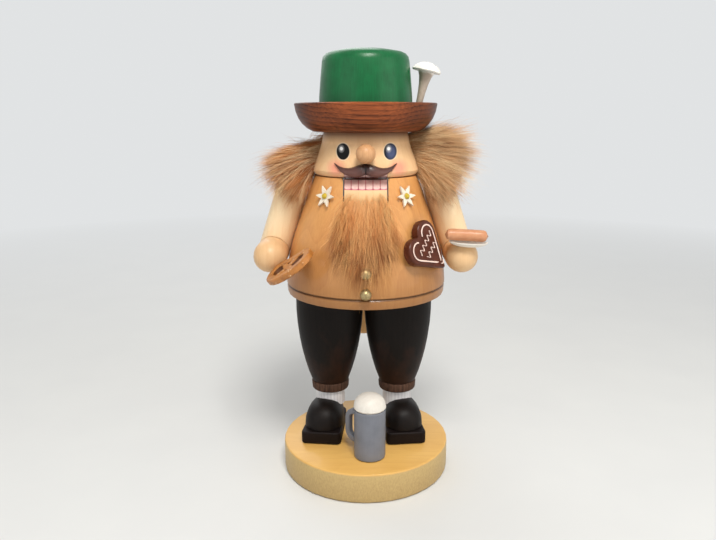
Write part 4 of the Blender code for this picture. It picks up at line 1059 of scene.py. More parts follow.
@dataclass(frozen=True)
class Baked(Finish):
    """Dough with a browned crust, as painted wood shows it."""

    crust: tuple[float, ...] = paint(184, 118, 50)
    edge: tuple[float, ...] = paint(108, 58, 22)
    # Painted shade for the walls of the openings.
    hole_shade: tuple[float, ...] = paint(70, 34, 16)
    salt: tuple[float, ...] = paint(238, 212, 166)
    grain: float = 1.7
    grain_size: float = 0.22
    grain_share: float = 0.58
    grain_height: float = 0.8
    blister: tuple[float, float, float] = (4.5, 4.5, 4.5)
    blister_height: float = 0.5
    crumb: tuple[float, float, float] = (0.5, 0.5, 0.5)
    crumb_height: float = 0.2
    salt_strength: float = 0.8
    hole_shade_strength: float = 0.85
    roughness: float = 0.42
    coat: float = 0.15
    coat_roughness: float = 0.3
    relief: float = 0.16

    def dress(self, shader: Shader) -> None:
        """Makes the crust in a material.

        Args:
            shader: The material.
        """
        x, y, z = shader.where()
        cloud = shader.cloud(self.blister, 3.0, 0.6)
        fine = shader.cloud(self.crumb)
        share = ((cloud - 0.45) * 1.8 + (fine - 0.5) * 0.4).held()
        grains = shader.point(x / self.grain, y / self.grain, z / self.grain)
        chosen = shader.cells(grains, "Color").above(self.grain_share, 0.05)
        salt = (self.grain_size - shader.cells(grains)).above(0.0, 0.1) * chosen
        base = shader.mix(self.crust, self.edge, share)
        base = shader.mix(base, self.salt, salt * self.salt_strength)
        # Painted shade on the walls of the openings.
        base = shader.mix(base, self.hole_shade, shader.own("hole_shade") * self.hole_shade_strength)
        rough = self.roughness + fine * 0.1
        height = fine * self.crumb_height + cloud * self.blister_height + salt * self.grain_height
        gloss = {"Coat_Weight": self.coat, "Coat_Roughness": self.coat_roughness}
        shader.finish(base, rough, height, self.relief, **gloss)


@dataclass(frozen=True)
class Sock(Finish):
    """White paint with fine turned ribs that run up and down, greyer in the troughs between them as
    painted shade.
    """

    shade: tuple[float, ...] = paint(242, 240, 240)
    # Painted shade: grey in the troughs between the ribs.
    groove: tuple[float, ...] = paint(200, 196, 200)
    middle: tuple[float, float] = (0.0, AXIS_Y)
    ribs: float = 26.0
    roughness: float = 0.48
    relief: float = 0.12

    def dress(self, shader: Shader) -> None:
        """Makes the ribbed paint in a material.

        Args:
            shader: The material.
        """
        x, y, _ = shader.where()
        angle = (y - self.middle[1]).turn(x - self.middle[0])
        wave = (angle * self.ribs).sine() * 0.5 + 0.5
        smear = shader.cloud((3.0, 3.0, 9.0))
        # Painted shade in the troughs between the ribs.
        base = shader.mix(self.groove, self.shade, (wave * 0.4 + smear * 0.9).held())
        shader.finish(base, self.roughness + smear * 0.1, wave, self.relief)


# Making pieces


def put(mesh: bpy.types.Mesh, name: str, finish: Finish, body: str) -> bpy.types.Object:
    """Puts a piece in the scene.

    Args:
        mesh: Its mesh, in place.
        name: Its name.
        finish: What it is finished with.
        body: The body that it moves with, or an empty string for none.

    Returns:
        The piece.
    """
    mesh.name = name
    mesh.materials.clear()
    mesh.materials.append(finish.material())
    piece = bpy.data.objects.new(name, mesh)
    bpy.context.scene.collection.objects.link(piece)
    if body:
        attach(piece, body)
    log.info("%s: %d faces", name, len(mesh.polygons))
    return piece


def merged(node: str, sharp: float = SHARP) -> bmesh.types.BMesh:
    """A merged copy of a CAD node's mesh, smooth but for its sharp edges.

    Args:
        node: The node's name.
        sharp: The angle from which an edge is sharp, in degrees.

    Returns:
        The copy.
    """
    shape = bmesh.new()
    shape.from_mesh(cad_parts[node].data)
    bmesh.ops.remove_doubles(shape, verts=shape.verts, dist=WELD)
    flat = math.radians(FLAT)
    bmesh.ops.dissolve_limit(shape, angle_limit=flat, verts=shape.verts, edges=shape.edges)
    for face in shape.faces:
        face.smooth = True
    for edge in shape.edges:
        edge.smooth = len(edge.link_faces) == 2 and edge.calc_face_angle(0.0) < math.radians(sharp)
    return shape


def to_mesh(shape: bmesh.types.BMesh, name: str) -> bpy.types.Mesh:
    """A mesh from a bmesh, which is freed.

    Args:
        shape: The bmesh.
        name: The mesh's name.

    Returns:
        The mesh.
    """
    mesh = bpy.data.meshes.new(name)
    shape.to_mesh(mesh)
    shape.free()
    return mesh


def carry(
    node: str,
    name: str,
    finish: Finish,
    body: str = FIGURE,
    sharp: float = SHARP,
    soften: float = 0.0,
    shape: Optional[bmesh.types.BMesh] = None,
) -> bpy.types.Object:
    """A smooth piece in a CAD node's own form, which replaces the node.

    Args:
        node: The node.
        name: The piece's name.
        finish: What it is finished with.
        body: The body that it moves with.
        sharp: The angle from which an edge is sharp, in degrees.
        soften: How far its sharp edges are rounded, in mm.
        shape: The piece's own mesh, or the node's.

    Returns:
        The piece.
    """
    piece = put(to_mesh(shape or merged(node, sharp), name), name, finish, body)
    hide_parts(node)
    if soften:
        rounder = piece.modifiers.new("softened", "BEVEL")
        rounder.width, rounder.segments, rounder.limit_method = soften * MM, 2, "ANGLE"
        rounder.angle_limit = math.radians(sharp)
        rounder.harden_normals = True
    return piece


def redress(node: str, finish: Finish) -> None:
    """Gives a CAD node that stays its material.

    Args:
        node: The node.
        finish: What it is finished with.
    """
    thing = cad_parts[node]
    for place in thing.material_slots:
        place.link = "OBJECT"
        place.material = finish.material()


class Skin:
    """The outer surface of some CAD nodes, for hairs to stand on and lie over."""

    def __init__(self, nodes: Iterable[str]) -> None:
        """Reads the nodes' meshes.

        Args:
            nodes: Their names.
        """
        points: list[Vector] = []
        faces: list[tuple[int, ...]] = []
        for node in nodes:
            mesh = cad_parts[node].data
            first = len(points)
            points += [v.co.copy() for v in mesh.vertices]
            faces += [tuple(first + i for i in p.vertices) for p in mesh.polygons]
        self.tree = BVHTree.FromPolygons(points, faces)

    def foot(self, point: Vector) -> Vector:
        """The nearest point of the surface."""
        return self.tree.find_nearest(point)[0]

    def clear(self, point: Vector, gap: float) -> Vector:
        """A point moved out of the solids.

        Args:
            point: The point, in metres.
            gap: How far it stays from them, in metres.

        Returns:
            The point, or the nearest one that is clear.
        """
        found, normal, _, distance = self.tree.find_nearest(point, 0.03)
        if found is None:
            return point
        inside = (point - found).dot(normal) < 0.0
        if not inside and distance >= gap:
            return point
        return found + normal * gap


# Fur


@dataclass
class Tuft:
    """A tuft of fur that is glued on at its roots. Sizes are in millimetres."""

    name: str
    nodes: Sequence[str]
    finish: Coat
    skin: Skin
    ground: Skin
    roots: Sequence[tuple[float, float, float, float, float, float]]
    hairs: int = 6900
    clumps: int = 340
    scatter: tuple[float, float, float] = (1.2, 3.4, 1.2)
    joints: int = 5
    thick: float = 0.16
    seed: int = 1
    spread: float = 3.2
    mess: float = 0.11
    cross: float = 0.0
    reach: float = 1.0
    frizz: float = 0.8
    gather: float = 0.62
    wave: float = 0.6
    gap: float = 0.25
    lift: float = 1.5
    rise: float = 0.04
    inward: float = 4.0
    shorter: float = 0.42
    shorter_bias: float = 1.6
    belly: float = 0.45
    curl: float = 1.1
    cross_bias: float = 1.5
    tip_weight: float = 0.6
    tone_shares: tuple[float, float] = (0.7, 0.3)
    pull: tuple[float, float] = (0.55, 0.45)
    pull_bias: float = 1.2
    drift: float = 0.35
    waves: tuple[float, float] = (3.2, 3.5)
    frizz_least: float = 0.25
    strays: float = 0.05
    stray_reach: float = 3.4
    layers: float = 0.9
    sky: tuple[float, float, float] = (0.0, -0.45, 0.35)
    slot: str = "fur"
    body: str = FIGURE
    rng: np.random.Generator = field(init=False)
    tones: np.ndarray = field(init=False)

    def __post_init__(self) -> None:
        """Starts the tuft's own chance."""
        self.rng = np.random.default_rng(self.seed)

    def hair(self) -> tuple[np.ndarray, list[tuple[int, ...]]]:
        """One straight hair, as a pattern for the rest.

        Returns:
            Its points, with the joint's number as their height, and its faces.
        """
        shape = bmesh.new()
        bmesh.ops.create_circle(shape, cap_ends=True, segments=3, radius=1.0)
        edges = list(shape.edges)
        for _ in range(self.joints - 1):
            grown = bmesh.ops.extrude_edge_only(shape, edges=edges)["geom"]
            ring = [g for g in grown if isinstance(g, bmesh.types.BMVert)]
            bmesh.ops.translate(shape, verts=ring, vec=(0, 0, 1))
            edges = [g for g in grown if isinstance(g, bmesh.types.BMEdge) and g.is_boundary]
        tip = bmesh.ops.extrude_edge_only(shape, edges=edges)["geom"]
        points = [g for g in tip if isinstance(g, bmesh.types.BMVert)]
        bmesh.ops.pointmerge(shape, verts=points, merge_co=(0, 0, self.joints))
        bmesh.ops.recalc_face_normals(shape, faces=shape.faces)
        shape.verts.index_update()
        pattern = np.array([v.co[:] for v in shape.verts])
        faces = [tuple(v.index for v in f.verts) for f in shape.faces]
        shape.free()
        return pattern, faces

    def guides(self, count: int) -> np.ndarray:
        """Hair lines between the tuft's own root and tip rows.

        Args:
            count: How many lines.

        Returns:
            The lines' joints, in mm, as an array of count, joints + 1 and 3.
        """
        rows = np.array(self.roots)
        across = self.rng.random(count) * (len(rows) - 1)
        low = np.minimum(across.astype(int), len(rows) - 2)
        share = (across - low)[:, None]
        row = rows[low] * (1 - share) + rows[low + 1] * share
        root, tip = row[:, :3], row[:, 3:]
        span = np.linalg.norm(tip - root, axis=1)[:, None]
        root = root + self.rng.normal(0, 1.0, (count, 3)) * np.array(self.scatter)
        short = 1 - self.shorter * self.rng.random(count)[:, None] ** self.shorter_bias
        tip = root + (tip - row[:, :3]) * (short * self.reach)
        tip = tip + self.rng.normal(0, 1.0, (count, 3)) * (self.mess * span)
        outward = root - np.array([0.0, AXIS_Y, 0.0])
        outward[:, 2] = 0
        outward /= np.linalg.norm(outward, axis=1)[:, None]
        bend = root + (tip - root) * self.belly + outward * self.lift
        bend = bend + np.array([0, 0, self.rise]) * span
        t = np.linspace(0, 1, self.joints + 1)[None, :, None]
        return root[:, None] * (1 - t) ** 2 + bend[:, None] * (2 * t * (1 - t)) + tip[:, None] * t**2

    def lines(self) -> np.ndarray:
        """Every hair's line, gathered in clumps and frizzy.

        Returns:
            The lines' joints, in mm.
        """
        leaders = self.guides(self.clumps)
        t = np.linspace(0, 1, self.joints + 1)[None, :, None]
        turn = self.rng.random((self.clumps, 1, 3)) * math.tau
        leaders = leaders + np.sin(turn + t * math.tau * self.curl) * t * self.wave
        across = self.rng.normal(0, 1.0, (self.clumps, 1, 3)) * t**self.cross_bias
        leaders = leaders + across * self.cross
        loose = self.guides(self.hairs)
        gap = np.linalg.norm(loose[:, None, 0] - leaders[None, :, 0], axis=2)
        end = np.linalg.norm(loose[:, None, -1] - leaders[None, :, -1], axis=2)
        nearest = (gap + self.tip_weight * end).argmin(axis=1)
        shared, own = self.tone_shares
        self.tones = self.rng.random(self.clumps)[nearest] * shared
        self.tones = self.tones + self.rng.random(self.hairs) * own
        least, more = self.pull
        pull = least + more * self.rng.random((self.hairs, 1, 1))
        pull = self.gather * t**self.pull_bias * pull
        drift = self.rng.normal(0, 0.5, (self.hairs, 1, 3)) * t * self.spread * self.drift
        lines = loose * (1 - pull) + leaders[nearest] * pull + drift
        phase = self.rng.random((self.hairs, 1, 3)) * math.tau
        least, more = self.waves
        waves = least + more * self.rng.random((self.hairs, 1, 3))
        size = self.frizz * (self.frizz_least + self.rng.random((self.hairs, 1, 3)) ** 2)
        lines = lines + np.sin(phase + waves * t * math.pi) * size * t
        stray = self.rng.random(self.hairs) < self.strays
        out = self.rng.normal(0, 1.0, (int(stray.sum()), 1, 3))
        lines[stray] += out * t * self.stray_reach
        return lines

    def settle(self, lines: np.ndarray) -> np.ndarray:
        """Roots the hairs on the wood and moves the rest clear of it.

        Args:
            lines: The lines' joints, in mm.

        Returns:
            The same lines, moved.
        """
        for line in lines:
            depth = self.gap + self.layers * self.rng.random()
            line[0] = np.array(self.ground.foot(Vector(line[0] * MM))) / MM
            for i, point in enumerate(line[1:], 1):
                line[i] = np.array(self.skin.clear(Vector(point * MM), depth * MM)) / MM
        return lines

    def normals(self, lines: np.ndarray, way: np.ndarray) -> np.ndarray:
        """The way that the fur faces at each joint, away from the tuft's own spine.

        Args:
            lines: The lines' joints, in mm.
            way: The direction along the line at each joint.

        Returns:
            One direction for each joint.
        """
        spine = lines.mean(axis=0)
        middle = np.array([0.0, AXIS_Y, 0.0]) - spine
        middle[:, 2] = 0
        spine += middle / np.maximum(np.linalg.norm(middle, axis=1), 1e-6)[:, None] * self.inward
        facing = lines - spine[None]
        facing += np.linalg.norm(facing, axis=2)[..., None] * np.array(self.sky)
        facing -= way * (facing * way).sum(axis=2)[..., None]
        return facing / np.maximum(np.linalg.norm(facing, axis=2), 1e-6)[..., None]

    def mesh(self) -> bpy.types.Mesh:
        """All hairs in one mesh, with each hair's tone and the way along it.

        Returns:
            The mesh.
        """
        pattern, faces = self.hair()
        lines = self.settle(self.lines())
        count, joints = lines.shape[:2]
        way = np.gradient(lines, axis=1)
        way /= np.maximum(np.linalg.norm(way, axis=2), 1e-9)[..., None]
        side = np.cross(way, np.array([0.21, 0.36, 0.91]))
        side /= np.maximum(np.linalg.norm(side, axis=2), 1e-9)[..., None]
        up = np.cross(way, side)
        step = np.rint(pattern[:, 2]).astype(int)
        share = step / (joints - 1)
        taper = ((1 - share**1.8 * 0.8) * np.minimum(1, 0.45 + 2.5 * share))[None, :, None]
        width = self.thick * (0.6 + 0.6 * self.rng.random((count, 1, 1)))
        ring = side[:, step] * pattern[None, :, 0, None] + up[:, step] * pattern[None, :, 1, None]
        points = (lines[:, step] + ring * width * taper * 0.5) * MM
        each = len(pattern)
        index = np.arange(count)[:, None] * each
        loops = []
        for corners in (3, 4):
            kind = np.array([f for f in faces if len(f) == corners])
            loops += (index[..., None] + kind[None]).reshape(-1, corners).tolist()
        mesh = bpy.data.meshes.new(self.name)
        mesh.from_pydata(points.reshape(-1, 3), [], loops)
        mesh.polygons.foreach_set("use_smooth", np.ones(len(mesh.polygons), bool))
        for name, values in (("tone", np.repeat(self.tones, each)), ("along", np.tile(share, count))):
            marks = mesh.attributes.new(name, "FLOAT", "POINT")
            marks.data.foreach_set("value", values.astype(np.float32))
        mesh.update()
        normals = self.normals(lines, way)[:, step] * 0.8 + ring * 0.35
        normals /= np.maximum(np.linalg.norm(normals, axis=2), 1e-6)[..., None]
        mesh.normals_split_custom_set_from_vertices(normals.reshape(-1, 3).tolist())
        return mesh

    def build(self) -> bpy.types.Object:
        """Builds the tuft in place of its CAD solids.

        Returns:
            The piece.
        """
        piece = put(self.mesh(), self.name, self.finish, self.body)
        if self.nodes:
            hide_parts(*self.nodes)
        return piece


# The figure's parts


@dataclass
class RoundBase:
    """The turned disc that the figure stands on."""

    finish: Rim = Rim(
        "pale_wood_base",
        light=paint(233, 188, 108),
        dark=paint(204, 150, 76),
        grain=Axis.ACROSS,
        heart=(60.0, -34.0),
        ring=6.5,
        ring_depth=0.1,
        fibre=0.6,
        fibre_depth=0.3,
        roughness=0.38,
        coat=0.12,
    )

    def build(self) -> None:
        """Builds the base."""
        carry("base_plate", "base_turned", self.finish, soften=0.8)


@dataclass
class Legs:
    """Shoes, socks, cuffs and breeches."""

    shoe: Lacquer = Lacquer(
        "shoe_paint", paint(14, 11, 10), paint(26, 19, 16), 0.46, 0.0, 0.9, specular=0.14
    )
    sole: Lacquer = Lacquer(
        "sole_paint", paint(16, 12, 12), paint(30, 21, 19), 0.5, 0.0, 0.9, specular=0.12
    )
    cuff: Wood = Wood(
        "cuff_stain",
        light=paint(92, 66, 52),
        dark=paint(44, 30, 24),
        fibre_depth=0.8,
        roughness=0.6,
        lathe=0.3,
        relief=0.3,
        specular=0.12,
    )
    breeches: RubbedStain = RubbedStain(
        "breeches_stain",
        light=paint(25, 20, 17),
        dark=paint(13, 10, 9),
        rubbed=paint(72, 42, 28),
        ring_depth=0.2,
        fibre=0.7,
        fibre_depth=0.5,
        roughness=0.5,
        top=88.0,
        low=56.0,
        relief=0.2,
        specular=0.12,
    )
    middles: tuple[float, float] = (-23.3, 20.7)

    def build(self) -> None:
        """Builds both legs from the base up."""
        for side, middle in zip(SIDES, self.middles):
            sock = Sock(f"sock_paint_{side}", middle=(middle, AXIS_Y))
            carry(f"shoe_sole_{side}", f"sole_{side}", self.sole, soften=0.5)
            carry(f"shoe_upper_{side}", f"shoe_{side}", self.shoe, soften=0.5)
            carry(f"sock_{side}", f"ribbed_sock_{side}", sock)
            carry(f"cuff_{side}", f"rolled_cuff_{side}", self.cuff, soften=0.4)
            carry(f"leg_{side}", f"breeches_{side}", self.breeches)


@dataclass
class Torso:
    """The turned bell of the waistcoat with its buttons and flowers."""

    cloth: Slotted = Slotted(
        "waistcoat_wood",
        light=paint(224, 164, 98),
        dark=paint(184, 120, 64),
        heart=(38.0, 70.0),
        ring=7.0,
        ring_depth=0.2,
        fibre=1.1,
        fibre_depth=0.28,
        cloud_depth=0.45,
        roughness=0.4,
        coat=0.2,
        lathe=0.2,
    )
    metal: Metal = Metal("button_metal")
    steel: Metal = Metal("pin_steel", paint(150, 150, 152), paint(104, 104, 108))
    petal: Lacquer = Lacquer(
        "petal_paint", paint(244, 238, 224), paint(214, 198, 170), 0.42, 0.2, 0.5, 0.2, 1.6
    )
    eye: Lacquer = Lacquer(
        "flower_eye_paint", paint(216, 186, 60), paint(168, 140, 44), 0.5, 0.1, 0.8, 0.3, 0.9
    )

    def build(self) -> None:
        """Builds the body and what is fixed on its front."""
        carry("body", "waistcoat_bell", self.cloth, sharp=38.0)
        for place in ("upper", "lower"):
            carry(f"button_{place}", f"round_button_{place}", self.metal)
        for side in SIDES:
            carry(f"flower_{side}", f"flower_petals_{side}", self.petal, soften=0.2)
            carry(f"flower_eye_{side}", f"flower_heart_{side}", self.eye)
        redress("lever_pin", self.steel)


@dataclass
class Arms:
    """Sleeves and hands."""

    sleeve: Wood = Wood(
        "sleeve_wood",
        light=paint(250, 226, 186),
        dark=paint(232, 190, 140),
        ring=5.0,
        ring_depth=0.15,
        fibre_depth=0.22,
        cloud_depth=0.5,
        roughness=0.42,
        coat=0.15,
    )
    hand: Wood = Wood(
        "hand_wood",
        light=paint(232, 196, 150),
        dark=paint(210, 162, 112),
        ring=4.0,
        ring_depth=0.18,
        fibre_depth=0.25,
        cloud_depth=0.4,
        roughness=0.42,
        coat=0.12,
    )

    def build(self) -> None:
        """Builds both arms."""
        for side in SIDES:
            carry(f"sleeve_{side}", f"turned_sleeve_{side}", self.sleeve, soften=0.3)
            carry(f"hand_{side}", f"peg_hand_{side}", self.hand, soften=0.3)


@dataclass
class Head:
    """The turned head with its nose and moustache."""

    face: Face = Face(
        "face_paint",
        light=paint(240, 202, 156),
        dark=paint(214, 166, 116),
        ring=5.0,
        ring_depth=0.15,
        fibre_depth=0.2,
        cloud_depth=0.35,
        roughness=0.42,
    )
    nose: Wood = Wood(
        "nose_wood",
        light=paint(214, 166, 120),
        dark=paint(180, 126, 82),
        ring_depth=0.2,
        roughness=0.4,
        coat=0.1,
    )
    moustache: Moustache = Moustache(
        "moustache_paint", paint(104, 62, 52), paint(44, 22, 20), 0.38, 0.15, 0.8
    )

    def build(self) -> None:
        """Builds the head and what is glued on its front."""
        carry("head", "turned_head", self.face, soften=0.4)
        carry("nose", "ball_nose", self.nose)
        carry("moustache", "sawn_moustache", self.moustache, soften=0.3)


@dataclass
class Hat:
    """Brim, crown and brush."""

    brim: Turned = Turned(
        "brim_wood",
        light=paint(166, 88, 48),
        dark=paint(36, 17, 11),
        grain=Axis.ACROSS,
        heart=(60.0, -300.0),
        ring=2.6,
        sway=2.6,
        ring_depth=0.45,
        fibre=0.9,
        fibre_depth=0.6,
        cloud_depth=0.6,
        roughness=0.42,
        lathe=0.2,
        specular=0.2,
    )
    crown: Lacquer = Lacquer("green_lacquer")
    brush: Brush = Brush(
        "brush_paint", paint(240, 236, 228), paint(168, 148, 130), 0.45, 0.1, 0.3
    )

    def build(self) -> None:
        """Builds the hat."""
        carry("hat_brim", "turned_brim", self.brim, sharp=50.0)
        carry("hat_crown", "turned_crown", self.crown, sharp=60.0)
        carry("hat_brush", "hat_brush_turned", self.brush)


@dataclass
class Mouth:
    """The lever that is both jaw and handle, and the beard on it."""

    wood: Jaw = Jaw(
        "lever_wood",
        light=paint(222, 178, 122),
        dark=paint(190, 140, 88),
        heart=(30.0, -60.0),
        ring=4.5,
        ring_depth=0.3,
        fibre_depth=0.35,
        roughness=0.45,
        coat=0.1,
    )
    lip: float = 0.55
    rim_low: float = 186.2
    rim_back: float = -8.0
    # The beard's dark strands towards the tips and low down are painted shade between its clumps.
    fur: Coat = Coat(
        "beard_fur",
        root=paint(252, 190, 130),
        middle=paint(228, 152, 88),
        tip=paint(194, 120, 62),
        strand_and_shade=paint(112, 56, 26),
        blond=paint(252, 198, 130),
        streaks=0.04,
        tip_shade=0.3,
        patch=4.0,
        shade_heights=(165.0, 143.0),
    )
    rows: tuple[tuple[float, ...], ...] = (
        (-10.5, -25, 170, -15, -32, 158),
        (-10.0, -25, 170, -18, -34, 149),
        (-8.0, -25, 170, -16, -36, 142),
        (-5.5, -25, 169, -11, -38, 138),
        (-3.0, -25, 169, -6, -39, 132),
        (0.0, -25, 169, -1, -39, 128),
        (3.0, -25, 169, 5, -39, 132),
        (6.0, -25, 169, 10, -38, 139),
        (8.5, -25, 170, 14, -36, 142),
        (10.0, -25, 170, 16, -34, 149),
        (10.5, -25, 170, 14, -32, 159),
    )

    def build(self) -> None:
        """Builds the lever and the beard."""
        lever = merged("lever")
        low, back = self.rim_low * MM, self.rim_back * MM
        rim = [v for v in lever.verts if v.co.z > low and v.co.y < back]
        bmesh.ops.translate(lever, verts=rim, vec=(0, 0, self.lip * MM))
        carry("lever", "sawn_lever", self.wood, LEVER, soften=0.3, shape=lever)
        over, under = Skin(["body", "lever", "button_upper", "heart"]), Skin(["lever"])
        common = {
            "finish": self.fur,
            "skin": over,
            "ground": under,
            "roots": self.rows,
            "scatter": (1.2, 0.5, 3.4),
            "lift": 3.0,
            "rise": 0.1,
            "inward": 12.0,
            "body": "",
        }
        thick = Tuft(
            "beard_tuft",
            ["beard"],
            seed=11,
            frizz=1.2,
            wave=3.0,
            gather=0.9,
            mess=0.12,
            cross=3.8,
            **common,
        )
        loose = Tuft(
            "beard_wisps",
            [],
            hairs=2200,
            clumps=40,
            thick=0.13,
            seed=12,
            frizz=2.2,
            gather=0.25,
            mess=0.14,
            reach=1.08,
            **common,
        )
        for tuft in (thick, loose):
            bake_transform(tuft.build())


@dataclass
class Hair:
    """The fur round the head."""

    left: Coat = Coat(
        "hair_fur_left",
        root=paint(172, 98, 50),
        middle=paint(200, 126, 68),
        tip=paint(224, 158, 98),
        strand_and_shade=paint(124, 64, 34),
        streaks=0.05,
    )
    # Painted light: the right tuft is given paler colours than the left, as the light falls on that
    # side; both are the same fur.
    right: Coat = Coat(
        "hair_fur_right",
        root=paint(196, 138, 88),
        middle=paint(214, 160, 110),
        tip=paint(238, 194, 148),
        strand_and_shade=paint(150, 94, 56),
        streaks=0.0,
    )
    rows_left: tuple[tuple[float, ...], ...] = (
        (-27.5, 15, 206, -42, 11, 200),
        (-28.5, 15, 203, -54, 9, 197),
        (-29.5, 14, 201, -63, 7, 194),
        (-30.5, 13, 198, -62, 5, 186),
        (-31.0, 12, 196, -57, 0, 178),
        (-31.5, 11, 193, -49, -4, 171),
        (-32.0, 10, 190, -40, -5, 174),
    )
    rows_right: tuple[tuple[float, ...], ...] = (
        (26.5, 15, 210, 47, 8, 214),
        (27.5, 16, 207, 60, 8, 211),
        (28.5, 15, 204, 67, 6, 205),
        (29.5, 15, 201, 66, 4, 196),
        (30.5, 14, 198, 63, 2, 186),
        (31.0, 13, 195, 59, -2, 178),
        (31.5, 12, 192, 50, -6, 171),
        (32.0, 11, 189, 41, -7, 172),
    )

    back_angles: tuple[int, ...] = (20, 45, 70, 90, 110, 135, 160)
    back_root: tuple[float, float] = (30.0, 205.0)
    back_tip: tuple[float, float] = (38.0, 197.0)

    def back_rows(self) -> tuple[tuple[float, ...], ...]:
        """The rows of the fringe round the back of the head.

        Returns:
            The rows, each with the place of its roots and of its tips, in mm.
        """
        (near, high), (far, low) = self.back_root, self.back_tip
        rows = []
        for degrees in self.back_angles:
            x, y = math.cos(math.radians(degrees)), math.sin(math.radians(degrees))
            root = (near * x, AXIS_Y + near * y, high)
            rows.append((*root, far * x, AXIS_Y + far * y, low - 5 * abs(x)))
        return tuple(rows)

    def build(self) -> None:
        """Builds the tufts at both sides, with their wisps, and the fringe behind."""
        head = Skin(["head"])
        around = Skin(["head", "body", "sleeve_left", "sleeve_right", "hat_brim"])
        sides = zip(SIDES, (self.left, self.right), (self.rows_left, self.rows_right), (3, 5))
        for side, coat, rows, seed in sides:
            Tuft(
                f"hair_tuft_{side}",
                [f"hair_{side}"],
                coat,
                around,
                head,
                rows,
                seed=seed,
                frizz=1.1,
                gather=0.86,
                cross=2.4,
            ).build()
            Tuft(
                f"hair_wisps_{side}",
                [],
                coat,
                around,
                head,
                rows,
                hairs=2200,
                clumps=40,
                thick=0.12,
                seed=seed + 1,
                frizz=2.0,
                gather=0.2,
                mess=0.14,
                reach=1.06,
            ).build()
        Tuft(
            "hair_tuft_back",
            ["hair_back"],
            self.left,
            around,
            head,
            self.back_rows(),
            scatter=(2.5, 2.5, 4.0),
            seed=7,
            lift=4.0,
            inward=30.0,
            mess=0.07,
        ).build()


def ordered(shape: bmesh.types.BMesh) -> None:
    """Sorts what a mesh is made of by its place, so that each run gives the same mesh.

    Args:
        shape: The mesh.
    """
    kinds = (
        (shape.verts, lambda v: v.co[:]),
        (shape.edges, lambda e: (e.verts[0].co + e.verts[1].co)[:]),
        (shape.faces, lambda f: f.calc_center_median()[:]),
    )
    for kind, place in kinds:
        rank = {item: number for number, item in enumerate(sorted(kind, key=place))}
        kind.sort(key=rank.get)


def stroke(shape: bmesh.types.BMesh, path: list[Vector], way: Vector, radius: float) -> None:
    """Adds a thin tube along a path to a mesh.

    Args:
        shape: The mesh.
        path: The points of its middle line, in metres.
        way: The direction its ring faces.
        radius: Its radius, in metres.
    """
    turned = way.to_track_quat("Z", "Y").to_matrix().to_4x4()
    turned.translation = path[0]
    start = bmesh.ops.create_circle(
        shape, cap_ends=True, segments=6, radius=radius, matrix=turned
    )
    edges = list(dict.fromkeys(e for v in start["verts"] for e in v.link_edges))
    for before, after in zip(path, path[1:]):
        grown = bmesh.ops.extrude_edge_only(shape, edges=edges)["geom"]
        ring = [g for g in grown if isinstance(g, bmesh.types.BMVert)]
        bmesh.ops.translate(shape, verts=ring, vec=after - before)
        edges = [g for g in grown if isinstance(g, bmesh.types.BMEdge) and g.is_boundary]
    bmesh.ops.contextual_create(shape, geom=edges)


